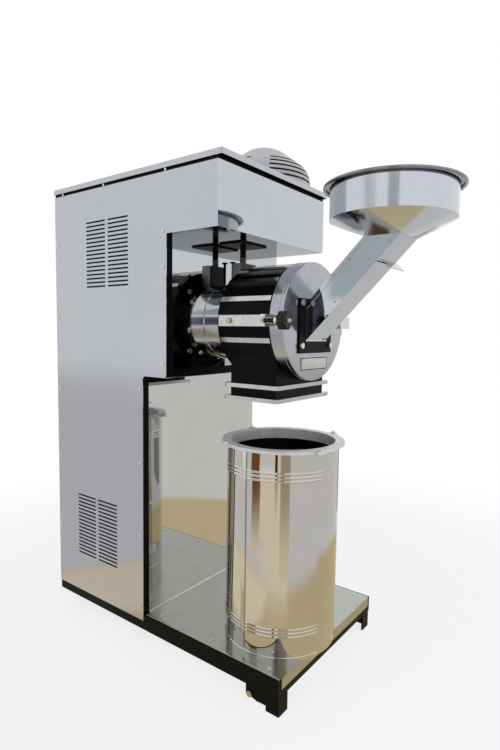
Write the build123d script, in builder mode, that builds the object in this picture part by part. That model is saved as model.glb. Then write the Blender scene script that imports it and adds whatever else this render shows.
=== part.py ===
"""Commercial flour mill: a sheet-clad cabinet on an angle frame, with a belt-driven beater mill in front.

Millimetres. +Z is up, -Y is the front, +X is to the right of someone facing the front.
The origin is on the floor, under the middle of the machine's bounding box.
"""

import os
from math import asin, degrees, sqrt

from build123d import *

# Cabinet
body_width = 457.0
sheet = 1.5
head_reach = 156.0
lower_setback = 83.0
wall_to_back = 450.0
panel_bottom_z = 67.0
platform_z = 84.0
step_z = 700.0
head_floor_z = 1039.0
panel_top_z = 1180.4
lid_top_z = 1201.5
lid_lip = 13.0
lid_overhang_front = 11.0
lid_overhang_back = 4.5
lid_overhang_side = 1.3
front_edge_show = 17.0
wall_band = 20.0
notch_radius = 8.0
platform_reach = 417.5
platform_inset = 12.0
platform_lip = 25.0

# Angle iron
angle_leg = 25.0
angle_thickness = 3.0
rail_leg = 40.0
rail_thickness = 4.0
foot_leg = 34.0
foot_plate_length = 54.0
foot_plate_clearance = 12.0
foot_knee_along = 24.3
foot_knee_z = 10.8
foot_heel_z = 19.2
foot_bolt_along = 42.0
foot_bolt_z = 21.6
rear_foot_x = 110.0

# Louvres and top hood
vent_columns = 2
vent_rows = 17
vent_slot_width = 79.0
vent_slot_height = 4.4
vent_column_gap = 11.0
vent_pitch = 10.5
vent_upper_z = 1011.0
vent_upper_y = 222.0
vent_lower_z = 263.0
vent_lower_y = 272.0
hood_x = 101.5
hood_from_head = 117.5
hood_radius = 127.5
hood_height = 106.0
hood_flat_radius = 40.0
hood_side_height = 40.0
hood_crown_round = 70.0
hood_foot_round = 60.0
hood_wall = 2.0
hood_slits = 5
hood_slit_height = 5.0
hood_slit_pitch = 12.5
hood_first_slit = 9.0
hood_rib_width = 50.0
hood_rib_turn = 30.0
hood_air_hole = 85.0

# Mill chamber
axis_z = 839.0
neck_length = 72.0
neck_radius = 99.0
sleeve_wall = 2.0
chamber_length = 161.0
chamber_radius = 134.0
chamber_wall = 12.0
chamber_back_wall = 14.0
chamber_back_round = 10.0
ring_depth = 26.5
ring_radius = 141.0
seal_gap = 0.4
door_thickness = 9.0
strips_per_side = 3
strip_pitch = 21.2
strip_width = 12.0
strip_height = 7.0
strap_width = 26.0
strap_height = 8.0
strip_setback = 15.0
strip_front_gap = 2.7
strip_round = 1.2
low_strip_angle = 18.8
strap_bolt_back = 32.0
strap_bolt_front = 11.5
edge_break = 1.5
outlet_from_back = 28.0
outlet_half = 108.0
outlet_depth = 132.5
outlet_wall = 6.0
outlet_top_z = 690.0
outlet_low_z = 650.0
rim_height = 9.5
rim_overhang = 13.0
low_rim_overhang = 14.0

# Bearing housing, shaft and rotor
shaft_radius = 15.0
shaft_chamfer = 1.0
tunnel_clearance = 8.0
running_gap = 0.05
bearing_radius = 31.0
bearing_width = 16.0
housing_tail_radius = 62.0
housing_tail = 92.0
plate_thickness = 8.0
plate_height = 210.0
plate_half = 216.0
pulley_stand_off = 18.0
rotor_radius = 62.0
rotor_thickness = 12.0
rotor_hub_radius = 30.0
beater_count = 6
beater_tip_radius = 107.0
beater_thickness = 8.0
beater_length = 52.0
rotor_from_back = 22.0
sieve_wall = 2.5
sieve_gap = 0.4
sieve_slots = 15
sieve_rows = 4
sieve_slot_length = 28.0
sieve_slot_width = 6.0

# Feed door, chute, gate and hopper
inlet_plate_half = 74.5
inlet_plate_height = 127.0
inlet_plate_thickness = 4.0
inlet_plate_low = 74.0
inlet_bolt_side = 8.0
inlet_bolt_drop = 10.0
inlet_bolt_rise = 18.0
chute_width = 92.0
chute_throat = 82.0
chute_wall = 1.4
chute_low_z = 795.0
chute_flange = 2.0
cover_lip = 11.0
hopper_reach = 184.0
hopper_rim_radius = 149.4
hopper_radius = 134.5
hopper_wall = 1.5
hopper_top_z = 1128.0
hopper_cone_z = 1057.0
hopper_throat_z = 1021.0
rim_roll = 3.5
gate_along = 240.0
gate_thickness = 2.0
gate_clearance = 0.5
gate_length = 90.0
gate_rest = -2.0
gate_handle = 13.0

# Door hinge and clamp
hinge_reach = 17.0
hinge_pin_radius = 5.0
pin_head_overhang = 2.0
pin_head_height = 3.0
hinge_knuckle_radius = 9.0
hinge_height = 66.0
hinge_leaf_share = 30.0
hinge_gap = 0.4
hinge_plate = 8.0
clamp_reach = 11.0
clamp_screw_radius = 5.0
clamp_lug_radius = 11.0
clamp_lug_height = 26.0
clamp_bracket_depth = 12.0
clamp_slot = 13.0
clamp_screw_past = 5.0
lug_gap = 0.3
knob_radius = 20.5
knob_depth = 20.0
knob_lobes = 8
knob_lobe_offset = 3.5
knob_lobe_radius = 6.0
knob_round = 5.0
knob_stand_off = 3.0
knob_collar_radius = 10.0

# Hanger and grease cup over the neck
block_width = 64.0
block_depth = 28.5
block_from_chamber = 5.0
block_top_z = 989.0
rod_radius = 8.0
rod_from_chamber = 24.0
rod_plate_width = 110.0
rod_plate_depth = 72.0
rod_plate_thickness = 4.0
cup_from_wall = 14.0
cup_stem_radius = 3.5
cup_head_radius = 8.0
cup_head_height = 4.0
cup_head_round = 2.0
cup_top_z = 998.0

# Belt drive and motor
motor_z = 216.0
motor_radius = 92.0
motor_length = 176.0
motor_shield = 16.0
motor_fins = 28
motor_fin_height = 12.0
motor_fin_width = 3.0
motor_fin_root = 2.0
motor_shield_drop = 2.0
motor_stand_off = 12.0
motor_shaft_radius = 14.0
motor_foot_width = 40.0
motor_foot_half = 96.0
motor_foot_length = 150.0
motor_foot_thickness = 12.0
cowl_length = 48.0
cowl_wall = 2.0
cowl_hole_radius = 4.0
cowl_hole_rings = {32.0: 8, 50.0: 13, 69.0: 18}
fan_radius = 78.0
fan_blades = 7
fan_blade_width = 3.0
fan_gap = 8.0
motor_rail_height = 12.0
motor_rail_width = 44.0
motor_pulley_radius = 90.0
mill_pulley_radius = 49.0
pulley_width = 38.0
belt_width = 11.0
belt_thickness = 8.0
belt_pitch = 16.0
belt_gap = 0.4

# Flour drum
drum_x = -60.0
drum_radius = 133.5
drum_height = 476.0
drum_wall = 1.5
drum_from_front = 111.0
bead_height = 2.0
bead_pitch = 8.5
bead_top_drop = 69.0
bead_low_rise = 55.0
drum_foot_rise = 10.0
drum_gap = 0.3
drum_ring_width = 12.5
drum_ring_height = 7.0
drum_mouth_radius = 124.5
drum_collar_wall = 3.0
drum_collar_depth = 25.0
lug_count = 4
lug_length = 20.0
lug_width = 21.0
lug_turn = 66.0

# Fasteners
screw_radius = 2.5
screw_hole_gap = 0.2
screw_head_radius = 4.8
screw_head_height = 2.2
screw_edge = 11.0
screw_end_gap = 34.0
rear_screw_rise = 159.0
rear_screw_drop = 132.0
wall_screw_drop = 77.0
head_screw_rise = 7.0
bolt_radius = 4.0
bolt_head_flats = 13.0
bolt_head_height = 5.3
gland_thread_radius = 12.0
gland_nut_radius = 17.0
gland_bore_radius = 7.0
gland_nut_height = 7.5
gland_stand_out = 16.0
gland_length = 30.0
gland_z = 130.0
gland_from_edge = 78.5

# Depths along Y, worked out so that the bounding box is centred on the origin
door_from_wall = neck_length + chamber_length + ring_depth + seal_gap + door_thickness
front_reach = door_from_wall + hopper_reach + hopper_rim_radius
back_reach = wall_to_back + max(lid_overhang_back, gland_stand_out)
wall_y = (front_reach - back_reach) / 2
head_y = wall_y - head_reach
low_y = wall_y + lower_setback
back_y = wall_y + wall_to_back
platform_front_y = low_y - platform_reach
wall_frame_y = wall_y + sheet
low_frame_y = low_y + sheet
head_frame_y = head_y + sheet
back_frame_y = back_y - sheet
chamber_back_y = wall_y - neck_length
chamber_front_y = chamber_back_y - chamber_length
ring_front_y = chamber_front_y - ring_depth
door_back_y = ring_front_y - seal_gap
door_face_y = door_back_y - door_thickness
plate_face_y = door_face_y - inlet_plate_thickness
hopper_y = door_face_y - hopper_reach

# Widths and heights that several pieces share
half = body_width / 2
frame_half = half - sheet
rail_half = frame_half - angle_thickness
cross_half = rail_half - angle_leg
upright_half = frame_half - angle_leg
wall_half = frame_half - front_edge_show
platform_half = frame_half - platform_inset
rail_top_z = platform_z - sheet
step_rail_z = step_z + sheet
head_rail_z = head_floor_z + sheet
lid_under_z = lid_top_z - sheet
wall_low_z = step_rail_z + wall_band
screw_hole_radius = screw_radius + screw_hole_gap
gland_x = half - gland_from_edge


def facing(y):
    """Upright plane at depth y, drawn in x and z. Extruding comes forward."""
    return Plane.XZ.offset(-y)


def beside(x):
    """Upright plane at x, drawn in y and z. Extruding goes right."""
    return Plane.YZ.offset(x)


def level(z):
    """Level plane at height z, drawn in x and y. Extruding goes up."""
    return Plane.XY.offset(z)


def angle_outline(corner, leg, thickness, toward):
    """Outline of an angle section from its outer corner, its legs pointing along the signs in toward."""
    cx, cy = corner
    tx, ty = toward
    return [
        (cx, cy),
        (cx + tx * leg, cy),
        (cx + tx * leg, cy + ty * thickness),
        (cx + tx * thickness, cy + ty * thickness),
        (cx + tx * thickness, cy + ty * leg),
        (cx, cy + ty * leg),
    ]


def angle_bar(plane, corner, leg, thickness, toward, length):
    """One length of angle iron, drawn on a plane and extruded from it."""
    with BuildPart() as bar:
        with BuildSketch(plane):
            with BuildLine():
                Polyline(*angle_outline(corner, leg, thickness, toward), close=True)
            make_face()
        extrude(amount=length)
    return bar.part


def vent_spots(centre_y, centre_z):
    """Centres of one block of louvre slots, in y and z."""
    column_step = vent_slot_width + vent_column_gap
    columns = [centre_y + (column - (vent_columns - 1) / 2) * column_step for column in range(vent_columns)]
    rows = [centre_z + (row - (vent_rows - 1) / 2) * vent_pitch for row in range(vent_rows)]
    return [(y, z) for y in columns for z in rows]


# Pan-head screw and hex bolt head, each modelled once at the origin with the head above the plane
with BuildPart() as pan_screw:
    with BuildSketch(Plane.XY):
        Circle(screw_radius)
    extrude(amount=-sheet - angle_thickness)
    with BuildSketch(Plane.XY):
        Circle(screw_head_radius)
    extrude(amount=screw_head_height)
    fillet(pan_screw.faces().sort_by(Axis.Z)[-1].edges(), screw_head_height * 0.7)

with BuildPart() as hex_head:
    with BuildSketch(Plane.XY):
        RegularPolygon(bolt_head_flats / 2, 6, major_radius=False)
    extrude(amount=bolt_head_height)
    chamfer(hex_head.faces().sort_by(Axis.Z)[-1].edges(), bolt_head_height * 0.1)

# Base: long side rails and cross rails under the platform and the cabinet
tray_screw_x = platform_half - screw_edge
tray_screw_y = [platform_front_y + rail_leg, (platform_front_y + low_y) / 2, low_y - rail_leg]
tray_spots = [(side * tray_screw_x, y) for side in (-1, 1) for y in tray_screw_y]
rail_front_y = platform_front_y + sheet

with BuildPart() as base_rails:
    for side in (-1, 1):
        add(
            angle_bar(
                facing(back_frame_y),
                (side * frame_half, rail_top_z),
                rail_leg,
                rail_thickness,
                (-side, -1),
                back_frame_y - rail_front_y,
            )
        )
    base_cross_half = frame_half - rail_leg
    for corner_y, toward_y in ((rail_front_y, 1), (low_frame_y, 1), (back_frame_y, -1)):
        add(
            angle_bar(
                beside(-base_cross_half),
                (corner_y, rail_top_z),
                rail_leg,
                rail_thickness,
                (toward_y, -1),
                2 * base_cross_half,
            )
        )
    with BuildSketch(level(rail_top_z)):
        with Locations(*tray_spots):
            Circle(screw_hole_radius)
    extrude(amount=-rail_thickness, mode=Mode.SUBTRACT)

# Front feet: an angle leg with a bolted side plate at each corner of the platform
foot_half = frame_half - rail_thickness
foot_top_z = rail_top_z - rail_thickness
foot_plate_y = rail_front_y + foot_leg
foot_bolt = (foot_plate_y + foot_bolt_along, foot_bolt_z)

with BuildPart() as front_feet:
    for side in (-1, 1):
        add(
            angle_bar(
                level(0), (side * foot_half, rail_front_y), foot_leg, rail_thickness, (-side, 1), foot_top_z
            )
        )
        with BuildSketch(beside(side * foot_half)):
            with BuildLine():
                Polyline(
                    (foot_plate_y, foot_plate_clearance),
                    (foot_plate_y + foot_knee_along, foot_knee_z),
                    (foot_plate_y + foot_plate_length, foot_heel_z),
                    (foot_plate_y + foot_plate_length, foot_top_z),
                    (foot_plate_y, foot_top_z),
                    close=True,
                )
            make_face()
            with Locations(foot_bolt):
                Circle(bolt_radius, mode=Mode.SUBTRACT)
        extrude(amount=-side * rail_thickness)

with BuildPart() as rear_feet:
    for side in (-1, 1):
        add(
            angle_bar(
                level(0),
                (side * (rear_foot_x + foot_leg / 2), back_frame_y - rail_thickness),
                foot_leg,
                rail_thickness,
                (-side, -1),
                foot_top_z,
            )
        )

# Uprights: rear corners, lower front, beside the mill wall, and the head's front corners
upright_runs = {
    "rear": (back_frame_y, -1, rail_top_z, lid_under_z),
    "lower": (low_frame_y, 1, rail_top_z, step_z),
    "wall": (wall_frame_y, 1, step_rail_z, head_rail_z),
    "head": (head_frame_y, 1, head_rail_z, lid_under_z),
}


def spread(low, high, count):
    """Heights of a column of screws, evenly spread with both ends included."""
    return [low + (high - low) * index / (count - 1) for index in range(count)]


rear_screw_z = spread(platform_z + rear_screw_rise, panel_top_z - rear_screw_drop, 5)
low_screw_z = spread(platform_z + screw_end_gap / 2, step_z - screw_end_gap, 4)
wall_screw_z = spread(wall_low_z + screw_edge, head_floor_z - wall_screw_drop, 2)
side_screw_spots = [(back_frame_y - screw_edge, z) for z in rear_screw_z]
side_screw_spots += [(low_frame_y + screw_edge, z) for z in low_screw_z]
side_screw_spots += [(wall_frame_y + screw_edge, z) for z in wall_screw_z + [head_floor_z + head_screw_rise]]
back_screw_x = frame_half - screw_edge
back_screw_spots = [(side * back_screw_x, z + screw_edge) for side in (-1, 1) for z in rear_screw_z]

with BuildPart() as uprights:
    for side in (-1, 1):
        for corner_y, toward_y, low, high in upright_runs.values():
            add(
                angle_bar(
                    level(low),
                    (side * frame_half, corner_y),
                    angle_leg,
                    angle_thickness,
                    (-side, toward_y),
                    high - low,
                )
            )
        with BuildSketch(beside(side * frame_half)):
            with Locations(*side_screw_spots):
                Circle(screw_hole_radius)
        extrude(amount=-side * angle_thickness, mode=Mode.SUBTRACT)
    with BuildSketch(facing(back_frame_y)):
        with Locations(*back_screw_spots):
            Circle(screw_hole_radius)
    extrude(amount=angle_thickness, mode=Mode.SUBTRACT)

# Rails along the sides, just inside the uprights
rail_back_y = back_frame_y - angle_thickness
side_rail_runs = [
    (step_rail_z, 1, wall_frame_y + angle_thickness, low_frame_y + angle_leg),
    (head_rail_z, 1, head_frame_y + angle_thickness, rail_back_y),
    (lid_under_z, -1, head_frame_y + angle_thickness, rail_back_y),
]

with BuildPart() as side_rails:
    for side in (-1, 1):
        for corner_z, toward_z, start_y, end_y in side_rail_runs:
            add(
                angle_bar(
                    facing(end_y),
                    (side * rail_half, corner_z),
                    angle_leg,
                    angle_thickness,
                    (-side, toward_z),
                    end_y - start_y,
                )
            )

# Rails across the width. The one under the mill wall shows as a black band
cross_rail_runs = [
    (wall_frame_y, 1, step_rail_z, 1, cross_half),
    (wall_frame_y, 1, head_rail_z, 1, cross_half),
    (head_frame_y, 1, head_rail_z, 1, cross_half),
    (head_frame_y, 1, lid_under_z, -1, cross_half),
    (back_frame_y, -1, lid_under_z, -1, cross_half),
    (back_frame_y, -1, step_rail_z, 1, upright_half),
]

with BuildPart() as cross_rails:
    for corner_y, toward_y, corner_z, toward_z, reach in cross_rail_runs:
        corner = (corner_y, corner_z)
        toward = (toward_y, toward_z)
        add(angle_bar(beside(-reach), corner, angle_leg, angle_thickness, toward, 2 * reach))

# Platform tray with a folded front lip
with BuildPart() as platform_tray:
    with BuildSketch(beside(-platform_half)):
        with BuildLine():
            Polyline(
                (platform_front_y, platform_z),
                (low_frame_y, platform_z),
                (low_frame_y, rail_top_z),
                (rail_front_y, rail_top_z),
                (rail_front_y, platform_z - platform_lip),
                (platform_front_y, platform_z - platform_lip),
                close=True,
            )
        make_face()
    extrude(amount=2 * platform_half)
    with BuildSketch(level(platform_z)):
        with Locations(*tray_spots):
            Circle(screw_hole_radius)
    extrude(amount=-sheet, mode=Mode.SUBTRACT)


# Side panels: one stepped sheet each, with two blocks of louvre slots
def side_panel(side):
    """The stepped sheet on one side of the cabinet."""
    with BuildPart() as panel:
        with BuildSketch(beside(side * frame_half)):
            with BuildLine():
                Polyline(
                    (back_frame_y, panel_bottom_z),
                    (low_frame_y, panel_bottom_z),
                    (low_frame_y, step_z),
                    (wall_frame_y, step_z),
                    (wall_frame_y, head_floor_z),
                    (head_frame_y, head_floor_z),
                    (head_frame_y, panel_top_z),
                    (back_frame_y, panel_top_z),
                    close=True,
                )
            make_face()
        extrude(amount=side * sheet)
        across = panel.edges().filter_by(Axis.X)
        fillet(across.filter_by_position(Axis.Z, step_z - sheet, step_z + sheet), notch_radius)
        with BuildSketch(beside(side * frame_half)):
            upper_slots = vent_spots(wall_y + vent_upper_y, vent_upper_z)
            lower_slots = vent_spots(wall_y + vent_lower_y, vent_lower_z)
            with Locations(*upper_slots, *lower_slots):
                Rectangle(vent_slot_width, vent_slot_height)
            with Locations(*side_screw_spots):
                Circle(screw_hole_radius)
        extrude(amount=side * sheet, mode=Mode.SUBTRACT)
    return panel


left_side_panel = side_panel(-1)
right_side_panel = side_panel(1)

# Flat panels across the cabinet
with BuildPart() as back_panel:
    with BuildSketch(facing(back_y)):
        with Locations((0, (panel_bottom_z + panel_top_z) / 2)):
            Rectangle(body_width, panel_top_z - panel_bottom_z)
        with Locations(*vent_spots(0, vent_lower_z)):
            Rectangle(vent_slot_width, vent_slot_height, mode=Mode.SUBTRACT)
        with Locations((gland_x, gland_z)):
            Circle(gland_thread_radius + screw_hole_gap, mode=Mode.SUBTRACT)
        with Locations(*back_screw_spots):
            Circle(screw_hole_radius, mode=Mode.SUBTRACT)
    extrude(amount=sheet)

with BuildPart() as lower_front_panel:
    with BuildSketch(facing(low_frame_y)):
        with Locations((0, (platform_z + step_z) / 2)):
            Rectangle(2 * wall_half, step_z - platform_z)
    extrude(amount=sheet)

with BuildPart() as wall_panel:
    with BuildSketch(facing(wall_frame_y)):
        with Locations((0, (wall_low_z + head_rail_z) / 2)):
            Rectangle(2 * wall_half, head_rail_z - wall_low_z)
        with Locations((0, axis_z)):
            Circle(neck_radius - sleeve_wall + screw_hole_gap, mode=Mode.SUBTRACT)
    extrude(amount=sheet)

with BuildPart() as head_front_panel:
    with BuildSketch(facing(head_frame_y)):
        with Locations((0, (head_floor_z + panel_top_z) / 2)):
            Rectangle(body_width, panel_top_z - head_floor_z)
    extrude(amount=sheet)

with BuildPart() as head_floor_panel:
    with BuildSketch(level(head_floor_z)):
        with Locations((0, (head_frame_y + wall_y) / 2)):
            Rectangle(2 * frame_half, wall_y - head_frame_y)
    extrude(amount=sheet)

with BuildPart() as step_panel:
    with BuildSketch(level(step_z)):
        with Locations((0, (wall_y + low_frame_y + angle_leg) / 2)):
            Rectangle(2 * frame_half, low_frame_y + angle_leg - wall_y)
    extrude(amount=sheet)

# Folded lid over the top rails, with an air hole under the hood
lid_half = half + lid_overhang_side
lid_front_y = head_y - lid_overhang_front
lid_back_y = back_y + lid_overhang_back
hood_y = head_y + hood_from_head

with BuildPart() as top_lid:
    with BuildSketch(level(lid_top_z - lid_lip)):
        with Locations((0, (lid_front_y + lid_back_y) / 2)):
            RectangleRounded(2 * lid_half, lid_back_y - lid_front_y, 2 * sheet)
    extrude(amount=lid_lip)
    with BuildSketch(level(lid_top_z - lid_lip)):
        with Locations((0, (lid_front_y + lid_back_y) / 2)):
            Rectangle(2 * (lid_half - sheet), lid_back_y - lid_front_y - 2 * sheet)
    extrude(amount=lid_lip - sheet, mode=Mode.SUBTRACT)
    with BuildSketch(level(lid_under_z)):
        with Locations((hood_x, hood_y)):
            Circle(hood_air_hole)
    extrude(amount=sheet, mode=Mode.SUBTRACT)

# Domed vent hood with level slits round it, left whole at four ribs
with BuildPart() as vent_hood:
    with BuildSketch(Plane(origin=(hood_x, hood_y, lid_top_z), x_dir=(1, 0, 0), z_dir=(0, -1, 0))) as hood_half:
        with BuildLine():
            Polyline(
                (0, 0),
                (0, hood_height),
                (hood_flat_radius, hood_height),
                (hood_radius, hood_side_height),
                (hood_radius, 0),
                close=True,
            )
        make_face()
        fillet(hood_half.vertices().sort_by(Axis.X)[2], hood_crown_round)
        fillet(hood_half.vertices().group_by(Axis.X)[-1].sort_by(Axis.Y)[-1], hood_foot_round)
    revolve(axis=Axis((hood_x, hood_y, 0), (0, 0, 1)))
    offset(amount=-hood_wall, openings=vent_hood.faces().sort_by(Axis.Z)[0])
    slit_levels = [lid_top_z + hood_first_slit + row * hood_slit_pitch for row in range(hood_slits)]
    for slit_z in slit_levels:
        with BuildSketch(level(slit_z)):
            with Locations((hood_x, hood_y)):
                Circle(hood_radius)
                Rectangle(2 * hood_radius, hood_rib_width, rotation=hood_rib_turn, mode=Mode.SUBTRACT)
                Rectangle(hood_rib_width, 2 * hood_radius, rotation=hood_rib_turn, mode=Mode.SUBTRACT)
        extrude(amount=hood_slit_height, mode=Mode.SUBTRACT)

# Cable gland through the back panel
gland_end_y = back_y + gland_stand_out

with BuildPart() as cable_gland:
    with BuildSketch(facing(back_y + gland_nut_height)):
        with Locations((gland_x, gland_z)):
            RegularPolygon(gland_nut_radius, 6, major_radius=False)
    extrude(amount=gland_nut_height)
    with BuildSketch(facing(gland_end_y)):
        with Locations((gland_x, gland_z)):
            Circle(gland_thread_radius)
    extrude(amount=gland_length)
    with BuildSketch(facing(gland_end_y)):
        with Locations((gland_x, gland_z)):
            Circle(gland_bore_radius)
    extrude(amount=gland_length, mode=Mode.SUBTRACT)

# Panel screws: one kind, on the sides, the back and the tray
screw_planes = [Plane((-half, y, z), (0, 1, 0), (-1, 0, 0)) for y, z in side_screw_spots]
screw_planes += [Plane((half, y, z), (0, 1, 0), (1, 0, 0)) for y, z in side_screw_spots]
screw_planes += [Plane((x, back_y, z), (1, 0, 0), (0, 1, 0)) for x, z in back_screw_spots]
screw_planes += [Plane((x, y, platform_z), (1, 0, 0), (0, 0, 1)) for x, y in tray_spots]

with BuildPart() as panel_screws:
    with Locations(*screw_planes):
        add(pan_screw.part)

# Bearing housing: a turned casting through the wall, seated on a thick plate behind it
plate_front_y = wall_frame_y + angle_thickness
plate_back_y = plate_front_y + plate_thickness
housing_end_y = plate_back_y + housing_tail
seat_radius = neck_radius - sleeve_wall
shaft_tunnel = shaft_radius + tunnel_clearance
housing_outline = [
    (bearing_radius, chamber_back_y),
    (seat_radius, chamber_back_y),
    (seat_radius, plate_front_y),
    (housing_tail_radius, plate_front_y),
    (housing_tail_radius, housing_end_y),
    (bearing_radius, housing_end_y),
    (bearing_radius, housing_end_y - bearing_width),
    (shaft_tunnel, housing_end_y - bearing_width),
    (shaft_tunnel, chamber_back_y + bearing_width),
    (bearing_radius, chamber_back_y + bearing_width),
]
mill_axis = Axis((0, 0, axis_z), (0, 1, 0))
turning_plane = Plane(origin=(0, 0, axis_z), x_dir=(1, 0, 0), z_dir=(0, 0, 1))

with BuildPart() as bearing_housing:
    with BuildSketch(turning_plane):
        with BuildLine():
            Polyline(*housing_outline, close=True)
        make_face()
    revolve(axis=mill_axis)

with BuildPart() as bearing_plate:
    with BuildSketch(facing(plate_back_y)):
        with Locations((0, axis_z)):
            Rectangle(2 * plate_half, plate_height)
            Circle(housing_tail_radius, mode=Mode.SUBTRACT)
    extrude(amount=plate_thickness)

with BuildPart() as mill_bearings:
    for bearing_y in (chamber_back_y + bearing_width, housing_end_y):
        with BuildSketch(facing(bearing_y)):
            with Locations((0, axis_z)):
                Circle(bearing_radius)
                Circle(shaft_radius + running_gap, mode=Mode.SUBTRACT)
        extrude(amount=bearing_width)

with BuildPart() as neck_sleeve:
    with BuildSketch(facing(wall_y)):
        with Locations((0, axis_z)):
            Circle(neck_radius)
            Circle(seat_radius, mode=Mode.SUBTRACT)
    extrude(amount=neck_length)

# Chamber: a thick drum closed at the back, with a square duct below
outlet_back_y = chamber_back_y - outlet_from_back
outlet_front_y = outlet_back_y - outlet_depth
outlet_y = (outlet_back_y + outlet_front_y) / 2
bore_radius = chamber_radius - chamber_wall

with BuildPart() as chamber_body:
    with BuildSketch(facing(chamber_back_y)):
        with Locations((0, axis_z)):
            Circle(chamber_radius)
    extrude(amount=chamber_length)
    fillet(chamber_body.faces().sort_by(Axis.Y)[-1].edges(), chamber_back_round)
    with BuildSketch(level(outlet_top_z)):
        with Locations((0, outlet_y)):
            Rectangle(2 * outlet_half, outlet_depth)
    extrude(amount=axis_z - outlet_top_z)
    with BuildSketch(facing(chamber_back_y - chamber_back_wall)):
        with Locations((0, axis_z)):
            Circle(bore_radius)
    extrude(amount=chamber_length, mode=Mode.SUBTRACT)
    with BuildSketch(level(outlet_top_z)):
        with Locations((0, outlet_y)):
            Rectangle(2 * (outlet_half - outlet_wall), outlet_depth - 2 * outlet_wall)
    extrude(amount=axis_z - outlet_top_z - bore_radius / 2, mode=Mode.SUBTRACT)
    with BuildSketch(facing(chamber_back_y)):
        with Locations((0, axis_z)):
            Circle(shaft_tunnel)
    extrude(amount=chamber_back_wall, mode=Mode.SUBTRACT)

# Outlet: a black collar between two bright rims
with BuildPart() as outlet_collar:
    with BuildSketch(level(outlet_low_z + rim_height)):
        with Locations((0, outlet_y)):
            Rectangle(2 * outlet_half, outlet_depth)
            Rectangle(2 * (outlet_half - outlet_wall), outlet_depth - 2 * outlet_wall, mode=Mode.SUBTRACT)
    extrude(amount=outlet_top_z - outlet_low_z - 2 * rim_height)

with BuildPart() as outlet_rims:
    for rim_z, overhang in ((outlet_low_z, low_rim_overhang), (outlet_top_z - rim_height, rim_overhang)):
        with BuildSketch(level(rim_z)):
            with Locations((0, outlet_y)):
                RectangleRounded(2 * (outlet_half + overhang), outlet_depth + 2 * overhang, rim_height)
                Rectangle(2 * (outlet_half - outlet_wall), outlet_depth - 2 * outlet_wall, mode=Mode.SUBTRACT)
        extrude(amount=rim_height)

# Bright strips along the chamber, and the two wide straps that carry the clamp and the hinge
strip_back_y = chamber_back_y - strip_setback
strip_length = chamber_length - strip_setback - strip_front_gap
side_steps = [strip_pitch * (step + 1) for step in range(strips_per_side)]
strip_angles = [90] + side_steps + [180 - angle for angle in side_steps]
low_strip_angles = [180 + low_strip_angle, -low_strip_angle]


def chamber_bar(angle, width, height):
    """A bar along the chamber at an angle from +X, its back shaped to the drum."""
    with BuildPart() as bar:
        with BuildSketch(facing(strip_back_y)):
            with Locations((0, axis_z)):
                with PolarLocations(0, 1, start_angle=angle):
                    with Locations((chamber_radius, 0)):
                        Rectangle(2 * height, width)
                Circle(chamber_radius, mode=Mode.SUBTRACT)
        extrude(amount=strip_length)
        outer_face = bar.faces().sort_by_distance((0, strip_back_y - strip_length / 2, axis_z))[-1]
        fillet(outer_face.edges(), strip_round)
    return bar.part


with BuildPart() as chamber_strips:
    for angle in strip_angles + low_strip_angles:
        add(chamber_bar(angle, strip_width, strip_height))

with BuildPart() as side_straps:
    for angle in (0, 180):
        add(chamber_bar(angle, strap_width, strap_height))

# Front ring that the door closes on
with BuildPart() as chamber_ring:
    with BuildSketch(facing(chamber_front_y)):
        with Locations((0, axis_z)):
            Circle(ring_radius)
            Circle(bore_radius, mode=Mode.SUBTRACT)
    extrude(amount=ring_depth)
    chamfer(chamber_ring.edges().filter_by(GeomType.CIRCLE).sort_by(SortBy.RADIUS)[-2:], edge_break)

# Hex bolts on the straps and the front feet
strap_bolt_y = [strip_back_y - strap_bolt_back, strip_back_y - strip_length + strap_bolt_front]
strap_face_x = chamber_radius + strap_height

with BuildPart() as hex_bolts:
    for side in (-1, 1):
        planes = [Plane((side * strap_face_x, y, axis_z), (0, 1, 0), (side, 0, 0)) for y in strap_bolt_y]
        planes += [Plane((side * foot_half, *foot_bolt), (0, 1, 0), (side, 0, 0))]
        with Locations(*planes):
            add(hex_head.part)
        with BuildSketch(beside(side * foot_half)):
            with Locations(foot_bolt):
                Circle(bolt_radius)
        extrude(amount=-side * (rail_thickness + bolt_head_height))

# Sieve: a perforated half ring over the outlet
sieve_radius = bore_radius - sieve_gap
sieve_back_y = chamber_back_y - chamber_back_wall - sieve_gap
sieve_length = chamber_length - chamber_back_wall - 2 * sieve_gap

with BuildPart() as sieve_ring:
    with BuildSketch(facing(sieve_back_y)):
        with Locations((0, axis_z)):
            Circle(sieve_radius)
            Circle(sieve_radius - sieve_wall, mode=Mode.SUBTRACT)
        with Locations((0, axis_z - sieve_radius)):
            Rectangle(2 * sieve_radius, 2 * sieve_radius, mode=Mode.INTERSECT)
    extrude(amount=sieve_length)
    row_step = sieve_length / sieve_rows
    for row in range(sieve_rows):
        row_y = sieve_back_y - row_step * (row + 0.5)
        with BuildSketch(facing(row_y + sieve_slot_length / 2)):
            with Locations((0, axis_z)):
                with PolarLocations(sieve_radius, sieve_slots, start_angle=190, angular_range=160):
                    Rectangle(4 * sieve_wall, sieve_slot_width)
        extrude(amount=sieve_slot_length, mode=Mode.SUBTRACT)

# Rotor on the mill shaft: a disc with bolted-on beaters
pulley_front_y = housing_end_y + pulley_stand_off
pulley_back_y = pulley_front_y + pulley_width
rotor_back_y = chamber_back_y - chamber_back_wall - rotor_from_back
rotor_front_y = rotor_back_y - rotor_thickness
shaft_front_y = rotor_front_y - beater_length

with BuildPart() as mill_shaft:
    with BuildSketch(facing(pulley_back_y)):
        with Locations((0, axis_z)):
            Circle(shaft_radius)
    extrude(amount=pulley_back_y - shaft_front_y)
    chamfer(mill_shaft.edges().filter_by(GeomType.CIRCLE), shaft_chamfer)

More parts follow.
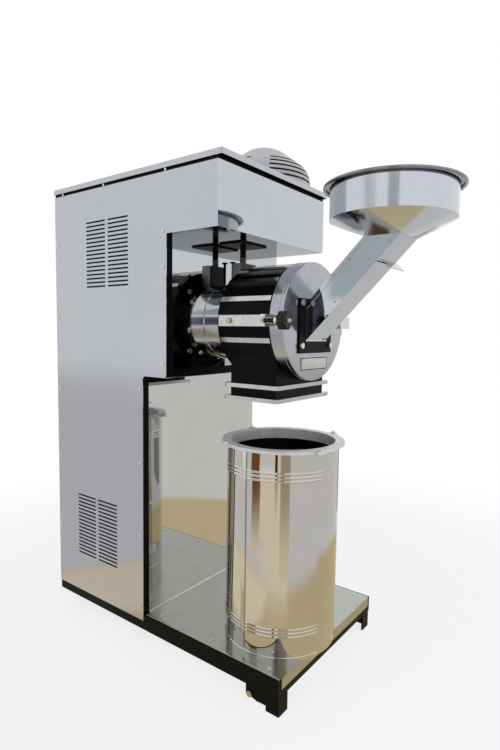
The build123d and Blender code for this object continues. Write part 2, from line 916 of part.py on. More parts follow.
with BuildPart() as rotor_disc:
    with BuildSketch(facing(rotor_back_y)):
        with Locations((0, axis_z)):
            Circle(rotor_radius)
            Circle(shaft_radius, mode=Mode.SUBTRACT)
    extrude(amount=rotor_thickness)
    with BuildSketch(facing(rotor_back_y)):
        with Locations((0, axis_z)):
            Circle(rotor_hub_radius)
            Circle(shaft_radius, mode=Mode.SUBTRACT)
    extrude(amount=-rotor_from_back / 2)

with BuildPart() as beaters:
    with BuildSketch(facing(rotor_front_y)):
        with Locations((0, axis_z)):
            with PolarLocations((rotor_hub_radius + beater_tip_radius) / 2, beater_count):
                Rectangle(beater_tip_radius - rotor_hub_radius, beater_thickness)
    extrude(amount=beater_length)


# Belt pulleys, turned about an axis along Y at a height
def pulley(radius, bore, height):
    """A two-groove pulley between the pulley's front and back planes."""
    middle_y = (pulley_front_y + pulley_back_y) / 2
    groove_width = belt_width + 2 * belt_gap
    groove_floor = radius - belt_thickness - belt_gap
    grooves = [middle_y + offset * belt_pitch / 2 for offset in (-1, 1)]
    outline = [(bore, pulley_front_y), (radius, pulley_front_y)]
    for groove_y in grooves:
        outline += [
            (radius, groove_y - groove_width / 2),
            (groove_floor, groove_y - groove_width / 2),
            (groove_floor, groove_y + groove_width / 2),
            (radius, groove_y + groove_width / 2),
        ]
    outline += [(radius, pulley_back_y), (bore, pulley_back_y)]
    with BuildPart() as wheel:
        with BuildSketch(Plane(origin=(0, 0, height), x_dir=(1, 0, 0), z_dir=(0, 0, 1))):
            with BuildLine():
                Polyline(*outline, close=True)
            make_face()
        revolve(axis=Axis((0, 0, height), (0, 1, 0)))
    return wheel


driven_pulley = pulley(mill_pulley_radius, shaft_radius, axis_z)
motor_pulley = pulley(motor_pulley_radius, motor_shaft_radius, motor_z)


# V-belts: a flat loop round both pulleys, once for each groove
def belt_loop(mill_radius, motor_radius_at_belt):
    """Closed outline of a belt round the two pulleys, in x and z."""
    span = axis_z - motor_z
    lean = degrees(asin((motor_radius_at_belt - mill_radius) / span))
    with BuildLine() as loop:
        over = CenterArc((0, axis_z), mill_radius, lean, 180 - 2 * lean)
        under = CenterArc((0, motor_z), motor_radius_at_belt, 180 - lean, 180 + 2 * lean)
        Line(over @ 1, under @ 0)
        Line(under @ 1, over @ 0)
    return loop.line


with BuildPart() as v_belts:
    for offset in (-1, 1):
        belt_y = (pulley_front_y + pulley_back_y) / 2 + offset * belt_pitch / 2 + belt_width / 2
        with BuildSketch(facing(belt_y)):
            make_face(belt_loop(mill_pulley_radius, motor_pulley_radius).edges())
            make_face(
                belt_loop(mill_pulley_radius - belt_thickness, motor_pulley_radius - belt_thickness).edges(),
                mode=Mode.SUBTRACT,
            )
        extrude(amount=belt_width)

# Motor: finned shell with feet, on two rails across the base frame
motor_front_y = pulley_back_y + motor_stand_off
motor_back_y = motor_front_y + motor_length
cowl_back_y = motor_back_y + cowl_length
motor_foot_z = rail_top_z + motor_rail_height
motor_core = motor_radius - motor_fin_height

with BuildPart() as motor_body:
    with BuildSketch(facing(motor_back_y)):
        with Locations((0, motor_z)):
            Circle(motor_core)
    extrude(amount=motor_length)
    with BuildSketch(facing(motor_back_y - motor_shield)):
        with Locations((0, motor_z)):
            with PolarLocations(motor_core + (motor_fin_height - motor_fin_root) / 2, motor_fins):
                Rectangle(motor_fin_height + motor_fin_root, motor_fin_width)
    extrude(amount=motor_length - 2 * motor_shield)
    for shield_y in (motor_back_y, motor_front_y + motor_shield):
        with BuildSketch(facing(shield_y)):
            with Locations((0, motor_z)):
                Circle(motor_radius - motor_shield_drop)
        extrude(amount=motor_shield)
    foot_middle_y = (motor_front_y + motor_back_y) / 2
    with BuildSketch(level(motor_foot_z)):
        with Locations((0, foot_middle_y)):
            Rectangle(2 * motor_foot_half, motor_foot_length)
    extrude(amount=motor_foot_thickness)
    with BuildSketch(level(motor_foot_z)):
        with Locations(*[(side * (motor_foot_half - motor_foot_width), foot_middle_y) for side in (-1, 1)]):
            Rectangle(motor_foot_thickness, motor_foot_length)
    extrude(amount=motor_z - motor_foot_z - motor_core / 2)
    with BuildSketch(level(motor_z + motor_core / 2)):
        with Locations((0, foot_middle_y)):
            Rectangle(motor_core, motor_core)
    extrude(amount=motor_core)
    with BuildSketch(facing(motor_back_y)):
        with Locations((0, motor_z)):
            Circle(motor_shaft_radius + running_gap)
    extrude(amount=motor_length, mode=Mode.SUBTRACT)

motor_rail_x = motor_foot_half - motor_rail_width / 2
motor_rail_y = (low_frame_y + back_frame_y) / 2

with BuildPart() as motor_rails:
    with BuildSketch(level(rail_top_z)):
        with Locations((-motor_rail_x, motor_rail_y), (motor_rail_x, motor_rail_y)):
            Rectangle(motor_rail_width, back_frame_y - low_frame_y)
    extrude(amount=motor_rail_height)

with BuildPart() as motor_cowl:
    with BuildSketch(facing(cowl_back_y)):
        with Locations((0, motor_z)):
            Circle(motor_radius)
    extrude(amount=cowl_length)
    with BuildSketch(facing(cowl_back_y - cowl_wall)):
        with Locations((0, motor_z)):
            Circle(motor_radius - cowl_wall)
    extrude(amount=cowl_length, mode=Mode.SUBTRACT)
    with BuildSketch(facing(cowl_back_y)):
        with Locations((0, motor_z)):
            for ring_radius_at, hole_count in cowl_hole_rings.items():
                with PolarLocations(ring_radius_at, hole_count):
                    Circle(cowl_hole_radius)
    extrude(amount=cowl_wall, mode=Mode.SUBTRACT)

fan_back_y = cowl_back_y - cowl_wall - fan_gap
fan_front_y = motor_back_y + fan_gap

with BuildPart() as motor_shaft:
    with BuildSketch(facing(fan_back_y)):
        with Locations((0, motor_z)):
            Circle(motor_shaft_radius)
    extrude(amount=fan_back_y - pulley_front_y)
    chamfer(motor_shaft.edges().filter_by(GeomType.CIRCLE), shaft_chamfer)

with BuildPart() as motor_fan:
    with BuildSketch(facing(fan_back_y)):
        with Locations((0, motor_z)):
            Circle(2 * motor_shaft_radius)
            with PolarLocations((fan_radius + motor_shaft_radius) / 2, fan_blades):
                Rectangle(fan_radius - motor_shaft_radius, fan_blade_width)
            Circle(motor_shaft_radius, mode=Mode.SUBTRACT)
    extrude(amount=fan_back_y - fan_front_y)

# Hanger: a lug block on the neck with a rod up to a plate under the head, and a tall grease cup behind it
with BuildPart() as hanger_block:
    with BuildSketch(facing(chamber_back_y + block_from_chamber + block_depth)):
        with Locations((0, (axis_z + block_top_z) / 2)):
            Rectangle(block_width, block_top_z - axis_z)
        with Locations((0, axis_z)):
            Circle(neck_radius, mode=Mode.SUBTRACT)
    extrude(amount=block_depth)

rod_y = chamber_back_y + rod_from_chamber

with BuildPart() as hanger_rod:
    with BuildSketch(level(block_top_z)):
        with Locations((0, rod_y)):
            Circle(rod_radius)
    extrude(amount=head_floor_z - block_top_z)
    with BuildSketch(level(head_floor_z - rod_plate_thickness)):
        with Locations((0, rod_y)):
            Rectangle(rod_plate_width, rod_plate_depth)
    extrude(amount=rod_plate_thickness)

cup_low_z = axis_z + neck_radius - sleeve_wall / 2
cup_neck_z = cup_top_z - cup_head_height

with BuildPart() as grease_cup:
    with BuildSketch(level(cup_low_z)):
        with Locations((0, wall_y - cup_from_wall)):
            Circle(cup_stem_radius)
    extrude(amount=cup_neck_z - cup_low_z)
    with BuildSketch(level(cup_neck_z)):
        with Locations((0, wall_y - cup_from_wall)):
            Circle(cup_head_radius)
    extrude(amount=cup_head_height)
    fillet(grease_cup.edges().filter_by(GeomType.CIRCLE).sort_by(Axis.Z)[-1], cup_head_round)
    with BuildSketch(facing(wall_y)):
        with Locations((0, axis_z)):
            Circle(neck_radius)
    extrude(amount=neck_length, mode=Mode.SUBTRACT)

# Feed door, its inlet plate and bolts
chute_half = chute_width / 2
chute_lean = sqrt(2) * chute_wall
throat_front_y = hopper_y - chute_throat / 2
throat_back_y = hopper_y + chute_throat / 2
chute_rise = hopper_throat_z - chute_low_z
chute_run = plate_face_y - throat_front_y
chute_slope = chute_rise / chute_run
chute_high_z = hopper_throat_z - (plate_face_y - throat_back_y) * chute_slope
inlet_low_z = chute_low_z + chute_lean
inlet_high_z = chute_high_z - chute_lean
inlet_plate_z = axis_z - inlet_plate_low + inlet_plate_height / 2
inlet_bolt_x = inlet_plate_half - inlet_bolt_side
inlet_bolt_z = [
    inlet_plate_z - inlet_plate_height / 2 + inlet_bolt_rise,
    inlet_plate_z + inlet_plate_height / 2 - inlet_bolt_drop,
]
inlet_bolt_spots = [(side * inlet_bolt_x, z) for side in (-1, 1) for z in inlet_bolt_z]

with BuildPart() as door:
    with BuildSketch(facing(door_back_y)):
        with Locations((0, axis_z)):
            Circle(ring_radius)
        with Locations((0, (inlet_low_z + inlet_high_z) / 2)):
            Rectangle(chute_width - 2 * chute_wall, inlet_high_z - inlet_low_z, mode=Mode.SUBTRACT)
    extrude(amount=door_thickness)
    chamfer(door.faces().sort_by(Axis.Y)[0].edges().filter_by(GeomType.CIRCLE), edge_break)

with BuildPart() as inlet_plate:
    with BuildSketch(facing(door_face_y)):
        with Locations((0, inlet_plate_z)):
            Rectangle(2 * inlet_plate_half, inlet_plate_height)
        with Locations((0, (inlet_low_z + inlet_high_z) / 2)):
            Rectangle(chute_width - 2 * chute_wall, inlet_high_z - inlet_low_z, mode=Mode.SUBTRACT)
    extrude(amount=inlet_plate_thickness)

with BuildPart() as inlet_bolts:
    with Locations(*[Plane((x, plate_face_y, z), (1, 0, 0), (0, -1, 0)) for x, z in inlet_bolt_spots]):
        add(hex_head.part)

# Feed chute: a sloping channel with a flange on the plate, and a riveted cover over its open top
chute_outline = [
    (plate_face_y, chute_low_z),
    (throat_front_y, hopper_throat_z),
    (throat_back_y, hopper_throat_z),
    (plate_face_y, chute_high_z),
]
flow = Vector(0, -chute_run, chute_rise).normalized()
gate_middle = Vector(0, plate_face_y, chute_low_z) + flow * gate_along
gate_plane = Plane(origin=gate_middle, x_dir=(1, 0, 0), z_dir=flow)
throat_depth = chute_throat * flow.Z
gate_high = throat_depth - 2 * gate_clearance
gate_travel_end = chute_half + gate_length
slot_start = -chute_half + chute_wall
slot_end = gate_travel_end


def top_line(start_y, end_y, drop):
    """Two points on a line parallel to the chute's top edge, a vertical drop below it."""
    return [(y, chute_high_z + (plate_face_y - y) * chute_slope - drop) for y in (start_y, end_y)]


def cut_gate_slot():
    """The slot that the gate slides in, as a private solid to take away."""
    with BuildPart() as slot:
        with BuildSketch(gate_plane.offset(-gate_thickness / 2 - gate_clearance)):
            with Locations(((slot_start + slot_end) / 2, (gate_high - gate_handle) / 2)):
                Rectangle(slot_end - slot_start, gate_high + gate_handle + 2 * gate_clearance)
        extrude(amount=gate_thickness + 2 * gate_clearance)
    return slot.part


with BuildPart() as feed_chute:
    with BuildSketch(beside(-chute_half)):
        with BuildLine():
            Polyline(*chute_outline, close=True)
        make_face()
    extrude(amount=chute_width)
    with BuildSketch(facing(plate_face_y)):
        with Locations((0, (chute_low_z + chute_high_z) / 2)):
            Rectangle(chute_width + 2 * chute_flange, chute_high_z - chute_low_z + 2 * chute_flange)
    extrude(amount=chute_wall)
    with BuildSketch(beside(slot_start)):
        with BuildLine():
            throat_drop = chute_throat * chute_slope - chute_lean
            Polyline(
                *top_line(plate_face_y + chute_wall, throat_front_y - chute_throat, throat_drop),
                *top_line(throat_back_y - chute_throat, plate_face_y - chute_wall, 0),
                *top_line(plate_face_y - chute_wall, plate_face_y + chute_wall, chute_lean),
                close=True,
            )
        make_face()
    extrude(amount=chute_width - 2 * chute_wall, mode=Mode.SUBTRACT)
    add(cut_gate_slot(), mode=Mode.SUBTRACT)

cover_half = chute_half + chute_wall
cover_start_y = plate_face_y - chute_wall

with BuildPart() as chute_cover:
    with BuildSketch(beside(-cover_half)):
        with BuildLine():
            Polyline(
                *top_line(cover_start_y, throat_back_y - chute_throat, -chute_lean),
                *top_line(throat_back_y - chute_throat, cover_start_y, cover_lip),
                close=True,
            )
        make_face()
    extrude(amount=2 * cover_half)
    with BuildSketch(beside(-chute_half)):
        with BuildLine():
            Polyline(
                *top_line(plate_face_y, throat_back_y - chute_throat, 0),
                *top_line(throat_back_y - chute_throat, plate_face_y, 2 * cover_lip),
                close=True,
            )
        make_face()
    extrude(amount=chute_width, mode=Mode.SUBTRACT)
    with BuildSketch(level(hopper_throat_z)):
        with Locations((0, hopper_y)):
            Rectangle(2 * chute_width, 4 * chute_throat)
    extrude(amount=chute_throat * 2, mode=Mode.SUBTRACT)
    add(cut_gate_slot(), mode=Mode.SUBTRACT)

# Hopper: rolled rim, straight bowl and a round-to-square throat
with BuildPart() as hopper_bowl:
    with BuildSketch(Plane(origin=(0, hopper_y, 0), x_dir=(1, 0, 0), z_dir=(0, -1, 0))):
        with Locations((hopper_radius - hopper_wall / 2, (hopper_cone_z + hopper_top_z) / 2)):
            Rectangle(hopper_wall, hopper_top_z - hopper_cone_z)
        with BuildLine():
            Polyline(
                (hopper_radius - hopper_wall, hopper_top_z - hopper_wall),
                (hopper_rim_radius - rim_roll, hopper_top_z - hopper_wall),
                (hopper_rim_radius - rim_roll, hopper_top_z),
                (hopper_radius - hopper_wall, hopper_top_z),
                close=True,
            )
        make_face()
        with Locations((hopper_rim_radius - rim_roll, hopper_top_z - rim_roll)):
            Circle(rim_roll)
    revolve(axis=Axis((0, hopper_y, 0), (0, 0, 1)))
    for inset, mode in ((0, Mode.ADD), (hopper_wall, Mode.SUBTRACT)):
        with BuildSketch(level(hopper_cone_z)) as round_end:
            with Locations((0, hopper_y)):
                Circle(hopper_radius - inset)
        with BuildSketch(level(hopper_throat_z)) as square_end:
            with Locations((0, hopper_y)):
                Rectangle(chute_width - 2 * inset, chute_throat - 2 * inset)
        loft(sections=[round_end.sketch, square_end.sketch], ruled=True, mode=mode)

# Feed gate: a plate across the chute that slides out to the right
with BuildPart() as feed_gate:
    with BuildSketch(gate_plane.offset(-gate_thickness / 2)):
        with Locations((gate_rest + gate_length / 2, (gate_high - gate_handle) / 2)):
            Rectangle(gate_length, gate_high + gate_handle)
    extrude(amount=gate_thickness)

# Door hinge on the right: fixed bracket and pin, and the door's leaf between its knuckles
hinge_x = ring_radius + hinge_reach
hinge_y = (chamber_front_y + door_face_y) / 2
knuckle_share = (hinge_height - hinge_leaf_share) / 2
leaf_half = hinge_leaf_share / 2 - hinge_gap

with BuildPart() as hinge_bracket:
    for side in (-1, 1):
        low = axis_z + (hinge_leaf_share / 2 if side > 0 else -hinge_height / 2)
        with BuildSketch(level(low)):
            with Locations((hinge_x, hinge_y)):
                Circle(hinge_knuckle_radius)
            with Locations((hinge_x - hinge_reach, hinge_y + hinge_knuckle_radius - hinge_plate / 2)):
                Rectangle(2 * hinge_reach, hinge_plate)
            with Locations((hinge_x, hinge_y)):
                Circle(hinge_pin_radius, mode=Mode.SUBTRACT)
        extrude(amount=knuckle_share)
    with BuildSketch(facing(chamber_front_y)):
        with Locations((0, axis_z)):
            Circle(ring_radius)
    extrude(amount=ring_depth, mode=Mode.SUBTRACT)

with BuildPart() as hinge_pin:
    with BuildSketch(level(axis_z - hinge_height / 2)):
        with Locations((hinge_x, hinge_y)):
            Circle(hinge_pin_radius)
    extrude(amount=hinge_height)
    with BuildSketch(level(axis_z + hinge_height / 2)):
        with Locations((hinge_x, hinge_y)):
            Circle(hinge_pin_radius + pin_head_overhang)
    extrude(amount=pin_head_height)

with BuildPart() as hinge_leaf:
    with BuildSketch(level(axis_z - leaf_half)):
        with Locations((hinge_x, hinge_y)):
            Circle(hinge_knuckle_radius)
        with BuildLine():
            Polyline(
                (hinge_x + hinge_knuckle_radius, hinge_y),
                (hinge_x + hinge_knuckle_radius, door_face_y - hinge_plate),
                (ring_radius - 3 * hinge_plate, door_face_y - hinge_plate),
                (ring_radius - 3 * hinge_plate, door_face_y),
                (hinge_x + hinge_knuckle_radius - hinge_plate, door_face_y),
                (hinge_x + hinge_knuckle_radius - hinge_plate, hinge_y),
                close=True,
            )
        make_face()
        with Locations((hinge_x, hinge_y)):
            Circle(hinge_pin_radius + running_gap, mode=Mode.SUBTRACT)
    extrude(amount=2 * leaf_half)

# Clamp on the left: a knob screw held by a lug on the door's rim, through a slotted bracket on the ring
clamp_x = -ring_radius - clamp_reach
bracket_back_y = chamber_front_y
screw_tip_y = bracket_back_y + clamp_screw_past
knob_back_y = door_face_y - knob_stand_off

with BuildPart() as clamp_lug:
    with BuildSketch(facing(door_back_y)):
        with Locations((clamp_x, axis_z)):
            Circle(clamp_lug_radius)
        with Locations((clamp_x + 2 * clamp_lug_radius, axis_z)):
            Rectangle(4 * clamp_lug_radius, clamp_lug_height)
        with Locations((0, axis_z)):
            Circle(ring_radius, mode=Mode.SUBTRACT)
        with Locations((clamp_x, axis_z)):
            Circle(clamp_screw_radius + running_gap, mode=Mode.SUBTRACT)
    extrude(amount=door_thickness)

with BuildPart() as clamp_bracket:
    with BuildSketch(facing(bracket_back_y)):
        with Locations((clamp_x, axis_z)):
            Rectangle(4 * clamp_lug_radius, clamp_lug_height)
        with Locations((clamp_x - 2 * clamp_lug_radius, axis_z)):
            Rectangle(4 * clamp_lug_radius + clamp_slot, clamp_slot, mode=Mode.SUBTRACT)
        with Locations((0, axis_z)):
            Circle(ring_radius, mode=Mode.SUBTRACT)
    extrude(amount=clamp_bracket_depth)

with BuildPart() as clamp_knob:
    with BuildSketch(facing(screw_tip_y)):
        with Locations((clamp_x, axis_z)):
            Circle(clamp_screw_radius)
    extrude(amount=screw_tip_y - knob_back_y)
    with BuildSketch(facing(door_face_y - lug_gap)):
        with Locations((clamp_x, axis_z)):
            Circle(knob_collar_radius)
    extrude(amount=door_face_y - lug_gap - knob_back_y)
    with BuildSketch(facing(knob_back_y)):
        with Locations((clamp_x, axis_z)):
            Circle(knob_radius)
            with PolarLocations(knob_radius + knob_lobe_offset, knob_lobes):
                Circle(knob_lobe_radius, mode=Mode.SUBTRACT)
    extrude(amount=knob_depth)
    fillet(clamp_knob.faces().sort_by(Axis.Y)[0].edges(), knob_round)

# Flour drum: a thin can with beads near its top and base, and a cast ring with lugs and a collar
drum_y = platform_front_y + drum_from_front
drum_top_z = platform_z + drum_height
drum_axis = Axis((drum_x, drum_y, 0), (0, 0, 1))
drum_plane = Plane(origin=(drum_x, drum_y, 0), x_dir=(1, 0, 0), z_dir=(0, -1, 0))
bead_levels = [drum_top_z - bead_top_drop + step * bead_pitch for step in (0, 1, 2)]
bead_levels += [platform_z + bead_low_rise + step * bead_pitch for step in (0, 1, 2)]

with BuildPart() as flour_drum:
    with BuildSketch(drum_plane):
        with BuildLine():
            Polyline(
                (0, platform_z + drum_gap),
                (drum_radius, platform_z + drum_gap),
                (drum_radius, drum_top_z - drum_ring_height),
                (drum_radius - drum_wall, drum_top_z - drum_ring_height),
                (drum_radius - drum_wall, platform_z + drum_foot_rise + drum_wall),
                (0, platform_z + drum_foot_rise + drum_wall),
                close=True,
            )
        make_face()
        with Locations(*[(drum_radius - drum_wall / 2, z) for z in bead_levels]):
            Circle(bead_height + drum_wall / 2)
    revolve(axis=drum_axis)
    with BuildSketch(level(platform_z + drum_foot_rise + drum_wall)):
        with Locations((drum_x, drum_y)):
            Circle(drum_radius - drum_wall)
    extrude(amount=drum_height, mode=Mode.SUBTRACT)

with BuildPart() as drum_ring:
    with BuildSketch(level(drum_top_z - drum_ring_height)):
        with Locations((drum_x, drum_y)):
            Circle(drum_radius + drum_ring_width)
            with PolarLocations(drum_radius + drum_ring_width, lug_count, start_angle=lug_turn):
                Rectangle(lug_length, lug_width)
            Circle(drum_mouth_radius, mode=Mode.SUBTRACT)
    extrude(amount=drum_ring_height)
    with BuildSketch(level(drum_top_z - drum_collar_depth)):
        with Locations((drum_x, drum_y)):
            Circle(drum_mouth_radius + drum_collar_wall)
            Circle(drum_mouth_radius, mode=Mode.SUBTRACT)
    extrude(amount=drum_collar_depth)

pieces = {
    "base_rails": base_rails,
    "front_feet": front_feet,
    "rear_feet": rear_feet,
    "uprights": uprights,
    "side_rails": side_rails,
    "cross_rails": cross_rails,
    "platform_tray": platform_tray,
    "left_side_panel": left_side_panel,
    "right_side_panel": right_side_panel,
    "back_panel": back_panel,
    "lower_front_panel": lower_front_panel,
    "wall_panel": wall_panel,
    "head_front_panel": head_front_panel,
    "head_floor_panel": head_floor_panel,
    "step_panel": step_panel,
    "top_lid": top_lid,
    "vent_hood": vent_hood,
    "cable_gland": cable_gland,
    "panel_screws": panel_screws,
    "bearing_plate": bearing_plate,
    "bearing_housing": bearing_housing,
    "mill_bearings": mill_bearings,
    "neck_sleeve": neck_sleeve,
    "hanger_block": hanger_block,
    "hanger_rod": hanger_rod,
    "grease_cup": grease_cup,
    "chamber_body": chamber_body,
    "chamber_strips": chamber_strips,
    "side_straps": side_straps,
    "chamber_ring": chamber_ring,
    "outlet_collar": outlet_collar,
    "outlet_rims": outlet_rims,
    "hex_bolts": hex_bolts,
    "sieve_ring": sieve_ring,
    "hinge_bracket": hinge_bracket,
    "hinge_pin": hinge_pin,
    "clamp_bracket": clamp_bracket,
    "door": door,
    "inlet_plate": inlet_plate,
    "inlet_bolts": inlet_bolts,
    "feed_chute": feed_chute,
    "chute_cover": chute_cover,
    "hopper_bowl": hopper_bowl,
    "hinge_leaf": hinge_leaf,
    "clamp_lug": clamp_lug,
    "feed_gate": feed_gate,
    "clamp_knob": clamp_knob,
    "mill_shaft": mill_shaft,
    "rotor_disc": rotor_disc,
    "beaters": beaters,
    "driven_pulley": driven_pulley,
    "v_belts": v_belts,
    "motor_body": motor_body,
    "motor_rails": motor_rails,
    "motor_cowl": motor_cowl,
    "motor_shaft": motor_shaft,
    "motor_fan": motor_fan,
    "motor_pulley": motor_pulley,
    "flour_drum": flour_drum,
    "drum_ring": drum_ring,
}

os.makedirs("parts", exist_ok=True)
for label, piece in pieces.items():
    piece.part.label = label
    export_step(piece.part, f"parts/{label}.step")
print(len(pieces), "pieces written")
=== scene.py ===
# %% [markdown]
# # A commercial flour mill
# The machine is a sheet-steel cabinet on a black angle frame. A black milling chamber stands out of its front wall,
# a hopper and a sloping chute feed it through a round door, and a steel drum below catches the flour.
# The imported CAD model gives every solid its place, so this lesson loads it first, then dresses it and adds the
# thin and rounded pieces that a mesh shows better.

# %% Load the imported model
import math

import bmesh
import bpy
from mathutils import Matrix, Vector


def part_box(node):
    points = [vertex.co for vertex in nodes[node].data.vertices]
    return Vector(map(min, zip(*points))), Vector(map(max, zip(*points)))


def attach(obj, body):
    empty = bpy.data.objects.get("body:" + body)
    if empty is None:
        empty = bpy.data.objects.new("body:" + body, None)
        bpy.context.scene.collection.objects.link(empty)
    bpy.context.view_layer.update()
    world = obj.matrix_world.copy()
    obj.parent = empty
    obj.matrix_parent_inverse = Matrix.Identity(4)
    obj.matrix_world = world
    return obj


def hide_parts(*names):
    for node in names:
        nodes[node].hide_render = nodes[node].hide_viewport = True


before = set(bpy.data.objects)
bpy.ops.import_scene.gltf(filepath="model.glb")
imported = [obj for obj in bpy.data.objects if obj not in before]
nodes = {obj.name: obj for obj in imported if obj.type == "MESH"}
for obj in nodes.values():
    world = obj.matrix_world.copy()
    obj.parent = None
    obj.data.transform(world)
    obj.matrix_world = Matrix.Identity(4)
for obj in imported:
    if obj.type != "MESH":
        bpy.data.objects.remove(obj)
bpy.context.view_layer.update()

# %% [markdown]
# ## Camera
# The picture was taken from the front left, level with the chamber and tilted a little down, with a wide lens. A
# camera is an object with its own right, up and backward axes, so its matrix is built from the viewing direction, and
# a small roll is added.

# %% Place the camera
MM = 0.001
IMAGE_HEIGHT = 750
FOCAL_PIXELS = 518.43
SENSOR_HEIGHT = 36
CAMERA_PLACE = (-1.0904, -0.82925, 0.8135)
yaw, pitch, roll = (math.radians(angle) for angle in (53.02, -4.77, 0.83))
look = Vector((math.sin(yaw) * math.cos(pitch), math.cos(yaw) * math.cos(pitch), math.sin(pitch)))
level_right = Vector((math.cos(yaw), -math.sin(yaw), 0))
level_up = level_right.cross(look)
right = level_right * math.cos(roll) + level_up * math.sin(roll)
up = level_up * math.cos(roll) - level_right * math.sin(roll)

lens = bpy.data.cameras.new("photo_camera")
lens.sensor_fit = "VERTICAL"
lens.sensor_height = SENSOR_HEIGHT
lens.lens = FOCAL_PIXELS / IMAGE_HEIGHT * SENSOR_HEIGHT
camera = bpy.data.objects.new("photo_camera", lens)
scene = bpy.context.scene
scene.collection.objects.link(camera)
camera.matrix_world = Matrix((right, up, -look)).transposed().to_4x4()
camera.location = CAMERA_PLACE
scene.camera = camera
scene.view_settings.view_transform = "Standard"
print("lens:", round(lens.lens, 2), "mm")

# %% [markdown]
# ## Small helpers for materials
# Colours are written as sRGB hex values, the way a paint chart gives them, but shaders work in linear light, so one
# function converts them. Another adds one node, sets its options and links or fills its inputs. The rest start and
# end a material, and turn a real size in millimetres into the scale of a pattern.

# %% Helpers for materials


def srgb(code):
    """Linear RGBA of a colour written as #rrggbb."""
    parts = [int(code[i:i + 2], 16) / 255 for i in (1, 3, 5)]
    return [p / 12.92 if p <= 0.04045 else ((p + 0.055) / 1.055) ** 2.4 for p in parts] + [1.0]


def add_node(tree, kind, inputs=None, **settings):
    """A new node with its settings, its inputs set to values or linked to other nodes' outputs."""
    node = tree.nodes.new(kind)
    for name, value in settings.items():
        setattr(node, name, value)
    for name, value in (inputs or {}).items():
        if isinstance(value, bpy.types.NodeSocket):
            tree.links.new(value, node.inputs[name])
        else:
            node.inputs[name].default_value = value
    return node


def start_material(name):
    """An empty material, its node tree and the object coordinates that its patterns use."""
    material = bpy.data.materials.new(name)
    material.use_nodes = True
    material.node_tree.nodes.clear()
    place = add_node(material.node_tree, "ShaderNodeTexCoord").outputs["Object"]
    return material, material.node_tree, place


def finish_material(tree, **inputs):
    """The surface shader and the output, with the inputs given by their socket names."""
    shader = add_node(tree, "ShaderNodeBsdfPrincipled", {key.replace("_", " "): v for key, v in inputs.items()})
    add_node(tree, "ShaderNodeOutputMaterial", {"Surface": shader.outputs["BSDF"]})


def per_mm(size):
    """Noise scale whose features are about this many millimetres across."""
    return 1 / (size * MM)


print("mid grey in linear light:", round(srgb("#808080")[0], 3))

# %% [markdown]
# ## Studio
# The machine stands on a pale floor in front of a white background. The world and the floor look white to the camera
# and in the metal, and the floor keeps the shadow, fading to plain white further out so that no horizon shows.

# %% World and floor
SOFT_LIGHT, WHITE_LIGHT = 0.55, 1.0
FLOOR_SIZE = 24
SHADOW_NEAR, SHADOW_FAR, NEAR_WHITE = 0.8, 2.0, 0.8

world = bpy.data.worlds.new("studio_world")
scene.world = world
world.use_nodes = True
sky = world.node_tree
sky.nodes.clear()
ray = add_node(sky, "ShaderNodeLightPath").outputs
seen = add_node(sky, "ShaderNodeMath", {0: ray["Is Camera Ray"], 1: ray["Is Glossy Ray"]}, operation="MAXIMUM")
seen = add_node(sky, "ShaderNodeMath", {0: seen.outputs[0], 1: ray["Is Transmission Ray"]}, operation="MAXIMUM")
soft = add_node(sky, "ShaderNodeBackground", {"Color": srgb("#eef2f7"), "Strength": SOFT_LIGHT})
white = add_node(sky, "ShaderNodeBackground", {"Color": srgb("#ffffff"), "Strength": WHITE_LIGHT})
both = add_node(sky, "ShaderNodeMixShader", {0: seen.outputs[0], 1: soft.outputs[0], 2: white.outputs[0]})
add_node(sky, "ShaderNodeOutputWorld", {"Surface": both.outputs[0]})

floor_paint, tree, place = start_material("white_studio_floor")
ray = add_node(tree, "ShaderNodeLightPath").outputs
seen = add_node(tree, "ShaderNodeMath", {0: ray["Is Camera Ray"], 1: ray["Is Glossy Ray"]}, operation="MAXIMUM")
away = add_node(tree, "ShaderNodeVectorMath", {0: place}, operation="LENGTH").outputs["Value"]
share = add_node(
    tree, "ShaderNodeMapRange", {0: away, 1: SHADOW_NEAR, 2: SHADOW_FAR, 3: NEAR_WHITE, 4: 1.0},
    interpolation_type="SMOOTHSTEP",
)
share = add_node(tree, "ShaderNodeMath", {0: seen.outputs[0], 1: share.outputs[0]}, operation="MULTIPLY")
matt = add_node(tree, "ShaderNodeBsdfDiffuse", {"Color": srgb("#f6f6f6")})
glow = add_node(tree, "ShaderNodeEmission", {"Color": srgb("#ffffff"), "Strength": WHITE_LIGHT})
both = add_node(tree, "ShaderNodeMixShader", {0: share.outputs[0], 1: matt.outputs[0], 2: glow.outputs[0]})
add_node(tree, "ShaderNodeOutputMaterial", {"Surface": both.outputs[0]})

bpy.ops.object.select_all(action="DESELECT")
bpy.ops.mesh.primitive_plane_add(size=FLOOR_SIZE)
floor = bpy.context.active_object
floor.name = "studio_floor"
floor.data.materials.append(floor_paint)
print("floor:", floor.name)

# %% [markdown]
# ## What the polished metal sees
# Polished steel has hardly a colour of its own: it shows the room. So boards that only reflections can see stand where
# the room's things were. Each board is glowing paper with a little noise, so that no reflection is one flat tone, and
# its edges fade out, as things that stand further off look soft in buffed sheet.

# %% Glowing boards
BOARD_GRAIN = 300


